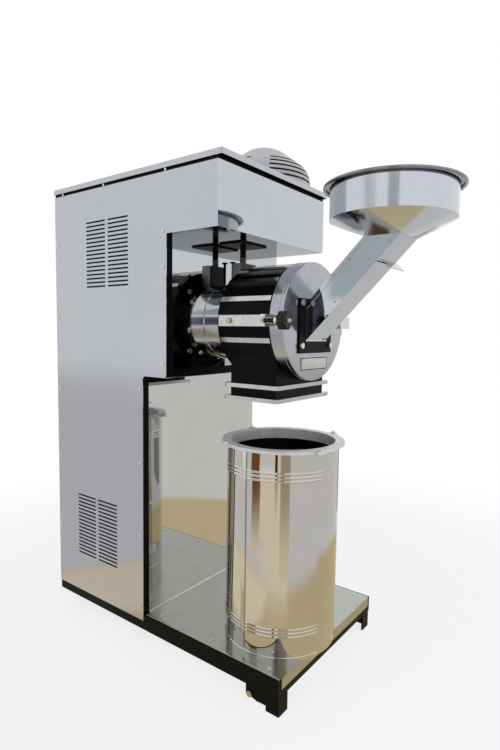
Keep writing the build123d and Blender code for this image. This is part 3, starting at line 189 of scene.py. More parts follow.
def paper(name, colours):
    """Glowing paper with two close tones, and the nodes that a caller may still change."""
    material, tree, place = start_material(name)
    grain = add_node(tree, "ShaderNodeTexNoise", {"Vector": place, "Scale": per_mm(BOARD_GRAIN)}).outputs["Fac"]
    tone = add_node(tree, "ShaderNodeMix", {0: grain, 6: srgb(colours[0]), 7: srgb(colours[1])}, data_type="RGBA")
    glow = add_node(tree, "ShaderNodeEmission", {"Color": tone.outputs[2], "Strength": WHITE_LIGHT})
    add_node(tree, "ShaderNodeOutputMaterial", {"Surface": glow.outputs[0]})
    return material, tree, place, tone, glow


def board(name, material, corners):
    """A board that only reflections see, from its corners in metres."""
    mesh = bpy.data.meshes.new(name)
    mesh.from_pydata(corners, [], [(0, 1, 2, 3)])
    mesh.materials.append(material)
    sheet = bpy.data.objects.new(name, mesh)
    scene.collection.objects.link(sheet)
    sheet.visible_camera = sheet.visible_diffuse = sheet.visible_shadow = sheet.visible_transmission = False


print("the boards' noise is", BOARD_GRAIN, "mm wide")

# %% [markdown]
# ## Boards with soft edges
# A share is a number from 0 to 1 that says how much of a tone or a surface a point gets. A ramp is a share that rises
# along one direction. A standing board is clear where its share is 0 and glows where it is 1, so ramps at its sides,
# its top and its lower edge make it fade out, and a last one lets the floor's tone run up its foot.

# %% Boards with soft edges
SOFT_EDGE = 0.12
FOOT_TONE = "#eadbbc"


def ramp(tree, place, way, near, far):
    """A share that rises from 0 to 1 between two distances along a direction."""
    toward = add_node(tree, "ShaderNodeVectorMath", {0: place, 1: way}, operation="DOT_PRODUCT").outputs["Value"]
    share = add_node(tree, "ShaderNodeMapRange", {0: toward, 1: near, 2: far}, interpolation_type="SMOOTHSTEP")
    return share.outputs[0]


def less(tree, share, other):
    """A share that is left where another one hasn't taken over."""
    rest = add_node(tree, "ShaderNodeMath", {0: 1.0, 1: other}, operation="SUBTRACT").outputs[0]
    return add_node(tree, "ShaderNodeMath", {0: share, 1: rest}, operation="MULTIPLY").outputs[0]


def upright(name, colours, start, end, low, high, foot=0.0):
    """A board standing between two points of the floor plan, with soft edges, that may fade at its foot."""
    material, tree, place, tone, glow = paper(name + "_paper", colours)
    if foot:
        share = ramp(tree, place, (0, 0, 1), 0.0, foot)
        tone = add_node(tree, "ShaderNodeMix", {0: share, 6: srgb(FOOT_TONE), 7: tone.outputs[2]}, data_type="RGBA")
        tree.links.new(tone.outputs[2], glow.inputs["Color"])
    along = Vector((end[0] - start[0], end[1] - start[1], 0))
    way = along.normalized()
    first = Vector((*start, 0)).dot(way)
    last = first + along.length
    solid = ramp(tree, place, way, first, first + SOFT_EDGE * along.length)
    solid = less(tree, solid, ramp(tree, place, way, first + (1 - SOFT_EDGE) * along.length, last))
    solid = less(tree, solid, ramp(tree, place, (0, 0, 1), high - SOFT_EDGE * (high - low), high))
    if low:
        solid = less(tree, solid, ramp(tree, place, (0, 0, -1), -low - SOFT_EDGE * (high - low), -low))
    clear = add_node(tree, "ShaderNodeBsdfTransparent")
    both = add_node(tree, "ShaderNodeMixShader", {0: solid, 1: clear.outputs[0], 2: glow.outputs[0]})
    tree.links.new(both.outputs[0], tree.nodes["Material Output"].inputs["Surface"])
    board(name, material, [(*start, low), (*end, low), (*end, high), (*start, high)])


print("a board fades over", SOFT_EDGE, "of its width")

# %% [markdown]
# ## Warm floor
# The real floor is tan near the machine, sunlit in front of it and to its left, and grey further away. It is one large
# board just above the white floor, whose tones take over from each other along the floor plan.

# %% Warm floor
SUNLIT, FAR_GREY = "#f3e5ca", "#dfdedc"
FLOOR_MIDDLE = (0.03, -0.08, 0)
FLOOR_REACH, FLOOR_LIFT = 12, 0.004
warm_paper, tree, place, tone, glow = paper("warm_floor_paper", ("#d6c59f", "#cfbe95"))
away = add_node(tree, "ShaderNodeVectorMath", {0: place, 1: FLOOR_MIDDLE}, operation="DISTANCE").outputs["Value"]
far = add_node(tree, "ShaderNodeMapRange", {0: away, 1: 0.79, 2: 0.89}, interpolation_type="SMOOTHSTEP").outputs[0]
far_left = ramp(tree, place, (-1, 0, 0), 2.2, 8.0)
to_camera = ramp(tree, place, (-0.83, -0.55, 0), 0.64, 0.95)
right_of_it = ramp(tree, place, (0.55, -0.83, 0), 0.18, 0.32)
left_of_it = ramp(tree, place, (-0.55, 0.83, 0), 0.75, 1.0)
bright_patch = less(tree, less(tree, to_camera, right_of_it), left_of_it)
to_left = less(tree, ramp(tree, place, (-0.8, 0.6, 0), 0.36, 0.48), far)
for share, code in ((far, FAR_GREY), (far_left, "#ffffff"), (bright_patch, SUNLIT), (to_left, SUNLIT)):
    tone = add_node(tree, "ShaderNodeMix", {0: share, 6: tone.outputs[2], 7: srgb(code)}, data_type="RGBA")
tree.links.new(tone.outputs[2], glow.inputs["Color"])
corners = ((-1, -1), (1, -1), (1, 1), (-1, 1))
board("warm_floor", warm_paper, [(x * FLOOR_REACH, y * FLOOR_REACH, FLOOR_LIFT) for x, y in corners])
print("warm floor:", 2 * FLOOR_REACH, "m wide")

# %% [markdown]
# ## Furniture and walls
# Brown and grey furniture stands low beside the machine, and pale blue and grey walls show higher up. The drum turns
# each low board into a streak, the hopper and the neck do so with the high ones. A board is given by two points of the
# floor plan, then by its lowest and highest edge in metres.

# %% Furniture and walls
upright("brown_cupboard", ("#7e5439", "#744c33"), (-0.83, 0.24), (-0.928, -0.041), 0, 0.6, foot=0.13)
upright("dark_post", ("#3f372d", "#352e26"), (-0.976, -0.481), (-0.944, -0.568), 0, 0.5, foot=0.12)
upright("grey_brown_board", ("#b8a893", "#aa9a86"), (-0.742, -0.536), (-0.573, -0.746), 0, 0.6, foot=0.17)
upright("pale_blue_wall", ("#d3dadd", "#b2bfc5"), (-1.140, 0.365), (-1.262, -0.085), 0.95, 1.3)
upright("blue_grey_wall", ("#7a8a91", "#6b7b83"), (-1.186, 0.198), (-1.322, -0.26), 1.3, 2.0)
upright("grey_green_board", ("#abbabb", "#9daeaf"), (-1.30, -0.684), (-1.125, -1.10), 1.25, 1.8)
upright("violet_curtain", ("#5a5268", "#4b4459"), (-1.33, -0.68), (-1.07, -0.98), 0.60, 1.14)
upright("grey_green_cupboard", ("#989d91", "#8b9084"), (1.1, -0.2), (1.1, 0.45), 0, 0.4)

# %% [markdown]
# ## Soft lamps
# Three wide disks of light stand in front, at the left and at the right, so that shadows are soft and no side is
# black. They are kept out of reflections, because a round lamp in polished sheet would give the studio away.

# %% Soft lamps
LAMP_TARGET = Vector((0, 0, 0.7))
for name, place_at, size, power, tint in (
    ("key_softbox", (-1.9, -2.2, 2.7), 1.6, 16, "#fff8f0"),
    ("side_softbox", (-2.8, 1.2, 1.9), 1.8, 8, "#f2f6ff"),
    ("fill_softbox", (2.4, -2.0, 1.8), 1.8, 10, "#ffffff"),
):
    data = bpy.data.lights.new(name, "AREA")
    data.shape = "DISK"
    data.size = size
    data.energy = power
    data.color = srgb(tint)[:3]
    lamp = bpy.data.objects.new(name, data)
    lamp.location = place_at
    lamp.rotation_euler = (LAMP_TARGET - Vector(place_at)).to_track_quat("-Z", "Y").to_euler()
    lamp.visible_glossy = False
    scene.collection.objects.link(lamp)

# %% [markdown]
# ## Stainless sheet
# The cladding, drum, hopper and chute are stainless sheet. Most of it is buffed to a mirror with cloth wheels: the eye
# sees the room in slightly wavy sheet, under a haze of wiping marks. The tray is brushed and worn, so fine scratches
# along one direction blur what it shows. One recipe makes both from a grain, a haze and a slow wave, each with its
# real size; the brushed lines are drawn a little coarser than real ones, which are finer than a pixel.

# %% Recipe for stainless sheet


def stainless(name, colours, roughness, grain_mm, grain_depth, haze_mm, wave_mm, wave_depth):
    """Stainless sheet: colour and roughness from a haze, with brushed grain and a slow wave in the surface."""
    material, tree, place = start_material(name)
    haze = add_node(
        tree, "ShaderNodeTexNoise", {"Vector": place, "Scale": per_mm(haze_mm), "Detail": 6.0, "Roughness": 0.6},
    ).outputs["Fac"]
    stretched = add_node(tree, "ShaderNodeMapping", {"Vector": place, "Scale": [per_mm(size) for size in grain_mm]})
    grain = add_node(
        tree, "ShaderNodeTexNoise", {"Vector": stretched.outputs[0], "Scale": 1.0, "Detail": 3.0},
    ).outputs["Fac"]
    wave = add_node(
        tree, "ShaderNodeTexNoise", {"Vector": place, "Scale": per_mm(wave_mm), "Detail": 1.0},
    ).outputs["Fac"]
    tone = add_node(tree, "ShaderNodeMix", {0: haze, 6: srgb(colours[0]), 7: srgb(colours[1])}, data_type="RGBA")
    streak = add_node(tree, "ShaderNodeMapRange", {0: grain, 1: 0.3, 2: 0.7, 3: 0.985, 4: 1.0})
    tone = add_node(
        tree, "ShaderNodeMix", {0: 1.0, 6: tone.outputs[2], 7: streak.outputs[0]},
        data_type="RGBA", blend_type="MULTIPLY",
    )
    smear = add_node(tree, "ShaderNodeMapRange", {0: haze, 1: 0.35, 2: 0.75, 3: roughness[0], 4: roughness[1]})
    bump = add_node(tree, "ShaderNodeBump", {"Height": wave, "Distance": wave_depth * MM, "Strength": 1.0})
    bump = add_node(
        tree, "ShaderNodeBump",
        {"Height": grain, "Distance": grain_depth * MM, "Strength": 1.0, "Normal": bump.outputs[0]},
    )
    finish_material(
        tree, Base_Color=tone.outputs[2], Metallic=1.0, Roughness=smear.outputs[0], Normal=bump.outputs[0],
    )
    return material


print("stainless sheet takes sizes and depths in millimetres")

# %% [markdown]
# ## The kinds of stainless sheet
# One grade of sheet looks different in each place, by how it was worked and by what rubs on it. Each kind below names
# two close tones, the least and greatest roughness of its haze, and the real sizes of its marks.

# %% Stainless finishes
# Buffed cladding: a clear mirror with a faint haze, flat to a few hundredths over a hand's width
mirror_sheet = stainless(
    "mirror_stainless_sheet", ("#c3c7cc", "#babec3"), roughness=(0.03, 0.08),
    grain_mm=(8, 8, 8), grain_depth=0.001, haze_mm=70, wave_mm=250, wave_depth=0.06,
)
# Underside of the head: the same sheet, seen in the shade
shaded_sheet = stainless(
    "shaded_mirror_sheet", ("#8d949c", "#848b93"), roughness=(0.04, 0.09),
    grain_mm=(8, 8, 8), grain_depth=0.001, haze_mm=70, wave_mm=250, wave_depth=0.06,
)
# Rolled and buffed drum: the same mirror, pulled a little out of true by the rollers
rolled_sheet = stainless(
    "rolled_mirror_sheet", ("#d0cecb", "#c5c3c0"), roughness=(0.03, 0.08),
    grain_mm=(40, 40, 300), grain_depth=0.0002, haze_mm=50, wave_mm=160, wave_depth=0.04,
)
# Lower front panel: the same mirror in lighter tones, painted light that brightens what it reflects
lightened_panel_sheet = stainless(
    "lightened_mirror_sheet", ("#d6d6d4", "#cdcdcb"), roughness=(0.02, 0.05),
    grain_mm=(60, 60, 60), grain_depth=0.0003, haze_mm=80, wave_mm=300, wave_depth=0.03,
)
# Neck sleeve: buffed along its length, so it shows the room as bands of light, dark and warm tones; its tones are
# lighter than the other sheet's, painted light that brightens the neck
lightened_neck_sheet = stainless(
    "buffed_lightened_neck_sheet", ("#f6f6f5", "#ececeb"), roughness=(0.10, 0.16),
    grain_mm=(2, 60, 2), grain_depth=0.001, haze_mm=35, wave_mm=120, wave_depth=0.05,
)
# Spun hopper: the same sheet, whose fine spinning rings soften what it shows
spun_sheet = stainless(
    "spun_stainless_sheet", ("#cdd1d7", "#bfc3ca"), roughness=(0.10, 0.17),
    grain_mm=(60, 60, 4), grain_depth=0.0006, haze_mm=60, wave_mm=200, wave_depth=0.03,
)
# Rim of the hopper: hammered over the wire, so rougher than the wall, and darker by painted shade
shaded_rim_sheet = stainless(
    "hammered_rim_sheet_painted_shade", ("#8f9296", "#7f8286"), roughness=(0.14, 0.24),
    grain_mm=(12, 12, 12), grain_depth=0.003, haze_mm=25, wave_mm=60, wave_depth=0.06,
)
# Sides, lid and back: a soft mirror, buffed less than the front, with faint lines along the sheet
side_sheet = stainless(
    "soft_mirror_side_sheet", ("#bbbec4", "#b5b8be"), roughness=(0.07, 0.12),
    grain_mm=(60, 60, 3), grain_depth=0.0003, haze_mm=300, wave_mm=400, wave_depth=0.04,
)
# Tray: trodden and wiped to a dull grey, with brushed lines that blur what stands on it
tray_sheet = stainless(
    "worn_tray_sheet", ("#b8bbb4", "#a9aca5"), roughness=(0.14, 0.24),
    grain_mm=(50, 50, 4), grain_depth=0.003, haze_mm=60, wave_mm=220, wave_depth=0.08,
)
# Inside of the drum: rough rolled sheet, nearly black with painted shade for the deep inside of the can
shade_dark_inner_sheet = stainless(
    "painted_shade_inner_sheet", ("#262524", "#1a1918"), roughness=(0.45, 0.62),
    grain_mm=(30, 30, 3), grain_depth=0.006, haze_mm=30, wave_mm=200, wave_depth=0.1,
)
print("finishes:", mirror_sheet.name, rolled_sheet.name, side_sheet.name, tray_sheet.name, shade_dark_inner_sheet.name)

# %% [markdown]
# ## Paint and mouldings
# The chamber is sprayed with gloss enamel: a near-black coat with a faint orange peel and a thin film of flour dust.
# The angle frame has a plainer satin paint that shows rub marks. The hood and motor are grey, and the knob, fan and
# belts are moulded. All are surfaces of one kind, a coloured coat with its own gloss, so one recipe serves them.

# %% Paint and mouldings
DUST_PATCH = 45


def coat(name, colours, roughness, peel_mm, peel_depth, shine=0.5):
    """A coat of paint or a moulding: dusty patches in colour and roughness, orange peel in the bump."""
    material, tree, place = start_material(name)
    dust = add_node(
        tree, "ShaderNodeTexNoise", {"Vector": place, "Scale": per_mm(DUST_PATCH), "Detail": 7.0, "Roughness": 0.65},
    ).outputs["Fac"]
    peel = add_node(
        tree, "ShaderNodeTexNoise", {"Vector": place, "Scale": per_mm(peel_mm), "Detail": 2.0},
    ).outputs["Fac"]
    patch = add_node(tree, "ShaderNodeMapRange", {0: dust, 1: 0.48, 2: 0.78})
    tone = add_node(
        tree, "ShaderNodeMix", {0: patch.outputs[0], 6: srgb(colours[0]), 7: srgb(colours[1])}, data_type="RGBA",
    )
    rough = add_node(tree, "ShaderNodeMapRange", {0: dust, 1: 0.3, 2: 0.75, 3: roughness[0], 4: roughness[1]})
    bump = add_node(tree, "ShaderNodeBump", {"Height": peel, "Distance": peel_depth * MM, "Strength": 1.0})
    finish_material(
        tree, Base_Color=tone.outputs[2], Roughness=rough.outputs[0], Normal=bump.outputs[0],
        IOR=1.5, Specular_IOR_Level=shine,
    )
    return material


# Sprayed gloss enamel on castings: deep black, with faint and slightly rippled reflections
chamber_enamel = coat(
    "gloss_black_enamel", ("#060607", "#0c0d10"), roughness=(0.14, 0.26), peel_mm=2.5, peel_depth=0.02, shine=0.07,
)
# Brushed satin paint on angle iron: black with greyer rubbed patches and hardly a reflection
frame_paint = coat(
    "satin_black_frame_paint", ("#080809", "#161616"), roughness=(0.34, 0.55), peel_mm=1.6, peel_depth=0.05, shine=0.08,
)
# Stoved enamel on the pressed hood: an even pale grey with a soft sheen
hood_paint = coat(
    "grey_hood_enamel", ("#c6c8ca", "#d2d3d5"), roughness=(0.32, 0.48), peel_mm=1.8, peel_depth=0.04,
)
# Sprayed machine enamel on the motor: blue grey, with the dust that settles between its fins
motor_paint = coat(
    "motor_grey_enamel", ("#5a656d", "#4a545b"), roughness=(0.3, 0.5), peel_mm=2.0, peel_depth=0.04,
)
# Phenolic knob, pressed in a polished mould: smooth black with a clear highlight on each lobe
knob_moulding = coat(
    "black_phenolic", ("#08080a", "#121217"), roughness=(0.18, 0.3), peel_mm=6, peel_depth=0.03, shine=0.3,
)
# Moulded nylon: black with a waxy, broad highlight
nylon = coat("black_nylon", ("#141416", "#1f1f22"), roughness=(0.42, 0.6), peel_mm=1.2, peel_depth=0.04)
# Wrapped rubber belt: matt black, greyed by dust from the cloth cover
belt_rubber = coat("belt_rubber", ("#101010", "#232220"), roughness=(0.6, 0.8), peel_mm=1.5, peel_depth=0.12)
print("coats:", chamber_enamel.name, frame_paint.name, hood_paint.name, motor_paint.name, knob_moulding.name)

# %% [markdown]
# ## Bare metals
# Strips and rims are buffed aluminium, the drum's ring is a grey casting, bolts are zinc plated and shafts are turned.
# They differ in colour, in how rough they are and in the size of their marks, so one recipe makes them all.

# %% Bare metals


def bare_metal(name, colours, roughness, mark_mm, mark_depth, spot_mm):
    """Bare metal: stains in the colour, tool marks stretched along one axis in roughness and bump."""
    material, tree, place = start_material(name)
    stain = add_node(
        tree, "ShaderNodeTexNoise", {"Vector": place, "Scale": per_mm(spot_mm), "Detail": 5.0, "Roughness": 0.6},
    ).outputs["Fac"]
    stretched = add_node(tree, "ShaderNodeMapping", {"Vector": place, "Scale": [per_mm(size) for size in mark_mm]})
    marks = add_node(
        tree, "ShaderNodeTexNoise", {"Vector": stretched.outputs[0], "Scale": 1.0, "Detail": 4.0},
    ).outputs["Fac"]
    patch = add_node(tree, "ShaderNodeMapRange", {0: stain, 1: 0.35, 2: 0.7})
    tone = add_node(
        tree, "ShaderNodeMix", {0: patch.outputs[0], 6: srgb(colours[0]), 7: srgb(colours[1])}, data_type="RGBA",
    )
    rough = add_node(tree, "ShaderNodeMapRange", {0: marks, 1: 0.3, 2: 0.7, 3: roughness[0], 4: roughness[1]})
    bump = add_node(tree, "ShaderNodeBump", {"Height": marks, "Distance": mark_depth * MM, "Strength": 1.0})
    finish_material(
        tree, Base_Color=tone.outputs[2], Metallic=1.0, Roughness=rough.outputs[0], Normal=bump.outputs[0],
    )
    return material


# Aluminium bar buffed along its length: nearly white, with a soft mirror drawn out along the bar
buffed_aluminium = bare_metal(
    "buffed_aluminium", ("#cbcac7", "#b8b7b4"), roughness=(0.12, 0.22), mark_mm=(2, 40, 2), mark_depth=0.01, spot_mm=18,
)
# Steel faced on a lathe and polished: a cool mirror, a little cloudy
door_steel = bare_metal(
    "turned_door_steel", ("#aeb2b7", "#a1a5ab"), roughness=(0.12, 0.22), mark_mm=(25, 25, 25), mark_depth=0.01,
    spot_mm=60,
)
# Aluminium cast in sand: pale, matt and finely pitted
cast_aluminium = bare_metal(
    "cast_aluminium", ("#e6e7e8", "#d6d7d8"), roughness=(0.5, 0.7), mark_mm=(3, 3, 3), mark_depth=0.08, spot_mm=25,
)
# Iron cast in sand: mid grey, with coarser pits
cast_iron = bare_metal(
    "grey_cast_iron", ("#8b8d8f", "#747678"), roughness=(0.4, 0.62), mark_mm=(2.5, 2.5, 2.5), mark_depth=0.12,
    spot_mm=22,
)
# Steel turned between centres: bright, with fine rings round the shaft
turned_steel = bare_metal(
    "turned_steel", ("#b9bbbe", "#a5a7aa"), roughness=(0.22, 0.36), mark_mm=(30, 1.2, 30), mark_depth=0.03, spot_mm=20,
)
# Bright zinc plate on bolts and brackets: silvery with a faint warm bloom
zinc_plate = bare_metal(
    "zinc_plated_steel", ("#d9d8d3", "#c8c6be"), roughness=(0.2, 0.36), mark_mm=(4, 4, 4), mark_depth=0.02, spot_mm=8,
)
# Zinc plate with a yellow passivate, mostly worn off: straw-coloured in spots
yellow_zinc = bare_metal(
    "yellow_zinc_plate", ("#c6bfae", "#aea48c"), roughness=(0.25, 0.42), mark_mm=(4, 4, 4), mark_depth=0.02, spot_mm=7,
)
# Solder wiped along the seam: a dull grey line with soft lumps
solder = bare_metal(
    "dull_solder", ("#a3a3a1", "#8a8a88"), roughness=(0.4, 0.6), mark_mm=(3, 3, 9), mark_depth=0.06, spot_mm=9,
)
print("metals:", buffed_aluminium.name, door_steel.name, cast_aluminium.name, cast_iron.name)

# %% [markdown]
# ## A black casting with grey ends
# The lug block over the neck is black, like the chamber, and its two end faces are bare grey iron. The face normal
# tells which way a face looks: where it points along X the face is grey.

# %% Painted casting with bare ends
PAINTED_TO, BARE_FROM = 0.8, 0.95
RUST_SPOT = 12
black_iron_grey_ends, tree, place = start_material("black_iron_with_grey_ends")
normal = add_node(tree, "ShaderNodeNewGeometry").outputs["Normal"]
along_x = add_node(tree, "ShaderNodeSeparateXYZ", {0: normal}).outputs["X"]
along_x = add_node(tree, "ShaderNodeMath", {0: along_x}, operation="ABSOLUTE").outputs[0]
bare = add_node(tree, "ShaderNodeMapRange", {0: along_x, 1: PAINTED_TO, 2: BARE_FROM}).outputs[0]
stain = add_node(
    tree, "ShaderNodeTexNoise", {"Vector": place, "Scale": per_mm(RUST_SPOT), "Detail": 5.0},
).outputs["Fac"]
grey = add_node(tree, "ShaderNodeMix", {0: stain, 6: srgb("#8f9193"), 7: srgb("#6f7173")}, data_type="RGBA")
tone = add_node(tree, "ShaderNodeMix", {0: bare, 6: srgb("#0b0b0c"), 7: grey.outputs[2]}, data_type="RGBA")
rough = add_node(tree, "ShaderNodeMapRange", {0: stain, 1: 0.3, 2: 0.7, 3: 0.28, 4: 0.5})
bump = add_node(tree, "ShaderNodeBump", {"Height": stain, "Distance": 0.08 * MM, "Strength": 1.0})
finish_material(
    tree, Base_Color=tone.outputs[2], Metallic=bare, Roughness=rough.outputs[0], Normal=bump.outputs[0],
)
print("casting:", black_iron_grey_ends.name)

# %% [markdown]
# ## A finish for every solid
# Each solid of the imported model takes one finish. The list is written as a workshop would write it: the finish first,
# then all the parts that get it. The last line shows whether a part was forgotten.

# %% Finish every CAD node
finishes = {
    mirror_sheet: (
        "wall_panel", "head_front_panel", "feed_chute", "chute_cover", "feed_gate", "sieve_ring",
    ),
    shaded_sheet: ("head_floor_panel",),
    rolled_sheet: ("flour_drum",),
    lightened_panel_sheet: ("lower_front_panel",),
    lightened_neck_sheet: ("neck_sleeve",),
    spun_sheet: ("hopper_bowl",),
    side_sheet: ("left_side_panel", "right_side_panel", "back_panel", "step_panel", "top_lid"),
    tray_sheet: ("platform_tray",),
    frame_paint: (
        "base_rails", "front_feet", "rear_feet", "uprights", "side_rails", "cross_rails", "motor_rails",
        "hanger_rod", "inlet_plate",
    ),
    chamber_enamel: ("chamber_body", "outlet_collar", "grease_cup"),
    hood_paint: ("vent_hood",),
    motor_paint: ("motor_body", "motor_cowl"),
    buffed_aluminium: ("chamber_strips", "side_straps", "outlet_rims"),
    door_steel: ("door", "chamber_ring"),
    cast_aluminium: ("drum_ring",),
    cast_iron: ("bearing_plate", "bearing_housing", "driven_pulley", "motor_pulley", "rotor_disc"),
    black_iron_grey_ends: ("hanger_block",),
    turned_steel: ("mill_bearings", "mill_shaft", "motor_shaft", "beaters", "hinge_pin"),
    zinc_plate: ("panel_screws", "inlet_bolts", "hinge_bracket", "hinge_leaf", "clamp_bracket", "clamp_lug"),
    yellow_zinc: ("hex_bolts",),
    knob_moulding: ("clamp_knob",),
    nylon: ("motor_fan", "cable_gland"),
    belt_rubber: ("v_belts",),
}
for material, names in finishes.items():
    for name in names:
        nodes[name].data.materials.clear()
        nodes[name].data.materials.append(material)
left = set(nodes) - {name for names in finishes.values() for name in names}
print("nodes without a finish:", sorted(left))

# %% [markdown]
# ## Helpers for modelling
# Each new piece starts as a primitive and is shaped in edit mode, with places in millimetres as on a drawing. A turned
# piece is made the lathe's way: one point is extruded along half a section, and the section is spun about an axis.

# %% Helpers for modelling


def start_piece(name, add, **size):
    """A new piece from a primitive, open in edit mode with everything selected."""
    bpy.ops.object.select_all(action="DESELECT")
    add(**size)
    piece = bpy.context.active_object
    piece.name = piece.data.name = name
    bpy.ops.object.transform_apply(location=True, rotation=True, scale=True)
    bpy.ops.object.mode_set(mode="EDIT")
    bpy.ops.mesh.select_mode(type="VERT")
    bpy.ops.mesh.select_all(action="SELECT")
    return piece


def pick(piece, kind, test):
    """Selects the open piece's verts, edges or faces that pass a test, and gives them back."""
    bpy.ops.mesh.select_mode(type={"verts": "VERT", "edges": "EDGE", "faces": "FACE"}[kind])
    bpy.ops.mesh.select_all(action="DESELECT")
    mesh = bmesh.from_edit_mesh(piece.data)
    chosen = [part for part in getattr(mesh, kind) if test(part)]
    for part in chosen:
        part.select_set(True)
    mesh.select_flush_mode()
    bmesh.update_edit_mesh(piece.data)
    return chosen


def turned(name, section, centre, axis=(0, 0, 1), steps=96, start=0.0):
    """A piece spun about an axis from half a section of (radius, height) pairs in millimetres."""
    axis = Vector(axis)
    out = Vector((math.cos(start), math.sin(start), 0))
    piece = start_piece(name, bpy.ops.mesh.primitive_plane_add, size=MM)
    bpy.ops.mesh.merge(type="CENTER")
    points = [(out * radius + axis * height) * MM for radius, height in section]
    bpy.ops.transform.translate(value=points[0])
    for here, there in zip(points, points[1:]):
        bpy.ops.mesh.extrude_vertices_move(TRANSFORM_OT_translate={"value": there - here})
    bpy.ops.mesh.select_all(action="SELECT")
    bpy.ops.mesh.spin(steps=steps, angle=2 * math.pi, center=(0, 0, 0), axis=axis)
    bpy.ops.mesh.select_all(action="SELECT")
    bpy.ops.mesh.remove_doubles(threshold=0.01 * MM)
    bpy.ops.mesh.normals_make_consistent(inside=False)
    bpy.ops.transform.translate(value=Vector(centre) * MM)
    return piece


def close_piece(piece, material, body, angle=32):
    """Ends the modelling: smooth shading, a finish, and the body that the piece rides on."""
    if piece.mode == "EDIT":
        bpy.ops.object.mode_set(mode="OBJECT")
    bpy.ops.object.shade_smooth_by_angle(angle=math.radians(angle))
    if not piece.data.materials:
        piece.data.materials.append(material)
    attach(piece, body)
    print(piece.name, "faces:", len(piece.data.polygons))


print("helpers: start_piece, pick, turned, close_piece")

# %% [markdown]
# ## Flour drum
# The drum is one sheet rolled round and closed with a lap seam. Two sets of three beads are rolled into the wall to
# stiffen it, and they stop short of the front, where the wall stays plain. The foot is hemmed. In a mesh the wall can
# swell smoothly at each bead, so the can is turned from its section, floor and inner wall included.

# %% Flour drum
DRUM = Vector((-60, -155.35, 0))
DRUM_RADIUS, DRUM_WALL, DRUM_FOOT, RING_TOP = 133.5, 1.5, 84.0, 560.0
DRUM_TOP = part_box("flour_drum")[1][2] / MM
BASE_UNDER, BASE_TOP = 94, 95.5
HEM_OUT, HEM_TOP, HEM_SHOULDER = 0.9, 91.5, 92.5
BEADS = (139.0, 147.5, 156.0, 491.0, 499.5, 508.0)
BEAD_HEIGHT, BEAD_HALF, BEAD_STEPS = 0.9, 2.8, 4


def bead_swell(step):
    """How far a bead stands out of the wall at one of its steps."""
    return BEAD_HEIGHT * (1 + math.cos(math.pi * step / BEAD_STEPS)) / 2


def beaded_wall(radius):
    """Points up the wall, out and back in over each bead."""
    steps = range(-BEAD_STEPS, BEAD_STEPS + 1)
    return [(radius + bead_swell(step), bead + BEAD_HALF * step / BEAD_STEPS) for bead in BEADS for step in steps]


inside = DRUM_RADIUS - DRUM_WALL
hem = DRUM_RADIUS + HEM_OUT
section = [(0, BASE_UNDER), (inside, BASE_UNDER), (inside, DRUM_FOOT)]
section += [(hem, DRUM_FOOT), (hem, HEM_TOP), (DRUM_RADIUS, HEM_SHOULDER)]
section += beaded_wall(DRUM_RADIUS) + [(DRUM_RADIUS, DRUM_TOP), (inside, DRUM_TOP)]
section += beaded_wall(inside)[::-1] + [(inside, BASE_TOP), (0, BASE_TOP)]
can = turned("drum_can", section, DRUM, steps=144)
print("points in the section:", len(section))

# %% [markdown]
# ## Plain stretch of the drum
# The rollers didn't press the beads over the drum's front. There each ring of a bead is scaled back to the wall's
# radius, first by half over a wider angle and then fully, so that a bead runs out softly. Then the faces that look
# inward take the near-black finish, painted shade for the deep inside of the can.

# %% Plain stretch of the drum
PLAIN_MIDDLE = 291
NEAR_ENOUGH = 0.02


def two_finishes(piece, first, second, test):
    """Gives an open piece two finishes, the second on the faces that pass a test, and gives those back."""
    piece.data.materials.append(first)
    piece.data.materials.append(second)
    chosen = pick(piece, "faces", test)
    piece.active_material_index = 1
    bpy.ops.object.material_slot_assign()
    return chosen


def in_plain_stretch(vert, spread):
    """Whether a vertex is within an angle of the middle of the plain stretch."""
    away = vert.co - DRUM * MM
    turn = math.degrees(math.atan2(away.y, away.x)) % 360
    return abs(turn - PLAIN_MIDDLE) < spread


def drum_distance(vert):
    """A vertex's distance from the drum's axis, in millimetres."""
    return math.hypot(*(vert.co - DRUM * MM).xy) / MM


for spread, before, after in ((38, 1.0, 0.5), (35, 0.5, 0.0)):
    for wall in (DRUM_RADIUS, inside):
        for step in range(BEAD_STEPS):
            now = wall + bead_swell(step) * before
            pick(can, "verts", lambda v: in_plain_stretch(v, spread) and abs(drum_distance(v) - now) < NEAR_ENOUGH)
            factor = (wall + bead_swell(step) * after) / now
            bpy.ops.transform.resize(value=(factor, factor, 1), center_override=DRUM * MM)
# faces that look inward take the near-black sheet, painted shade
two_finishes(can, rolled_sheet, shade_dark_inner_sheet, lambda f: (
    f.normal.xy.dot((f.calc_center_median() - DRUM * MM).xy) < -0.01 * MM
))
close_piece(can, rolled_sheet, "drum")
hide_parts("flour_drum")

# %% [markdown]
# ## Seam of the drum
# The sheet's ends lap and are soldered, which leaves a low step down the left of the drum with a dull line beside it.
# The lap is a thin strip with its long edges bevelled, and the solder is a bead of half-round section. One helper
# starts a box and another rounds chosen edges, since the other strips of sheet on the machine are made so too.

# %% Seam of the drum
SEAM_LENGTH, SEAM_MIDDLE = 458, 326
LAP_ANGLE, SOLDER_BESIDE = 174, 3
LAP_THICK, LAP_WIDE = 0.9, 11
SOLDER_HIGH, SOLDER_WIDE = 0.8, 1.5
SEAM_PROUD = 0.05
seam_place = Matrix.Translation(Vector((-(DRUM_RADIUS + SEAM_PROUD), 0, SEAM_MIDDLE)) * MM)


def start_box(name, size, middle=(0, 0, 0)):
    """A new box from its size and middle in millimetres, open in edit mode."""
    piece = start_piece(name, bpy.ops.mesh.primitive_cube_add, size=1)
    bpy.ops.transform.resize(value=Vector(size) * MM)
    bpy.ops.transform.translate(value=Vector(middle) * MM)
    return piece


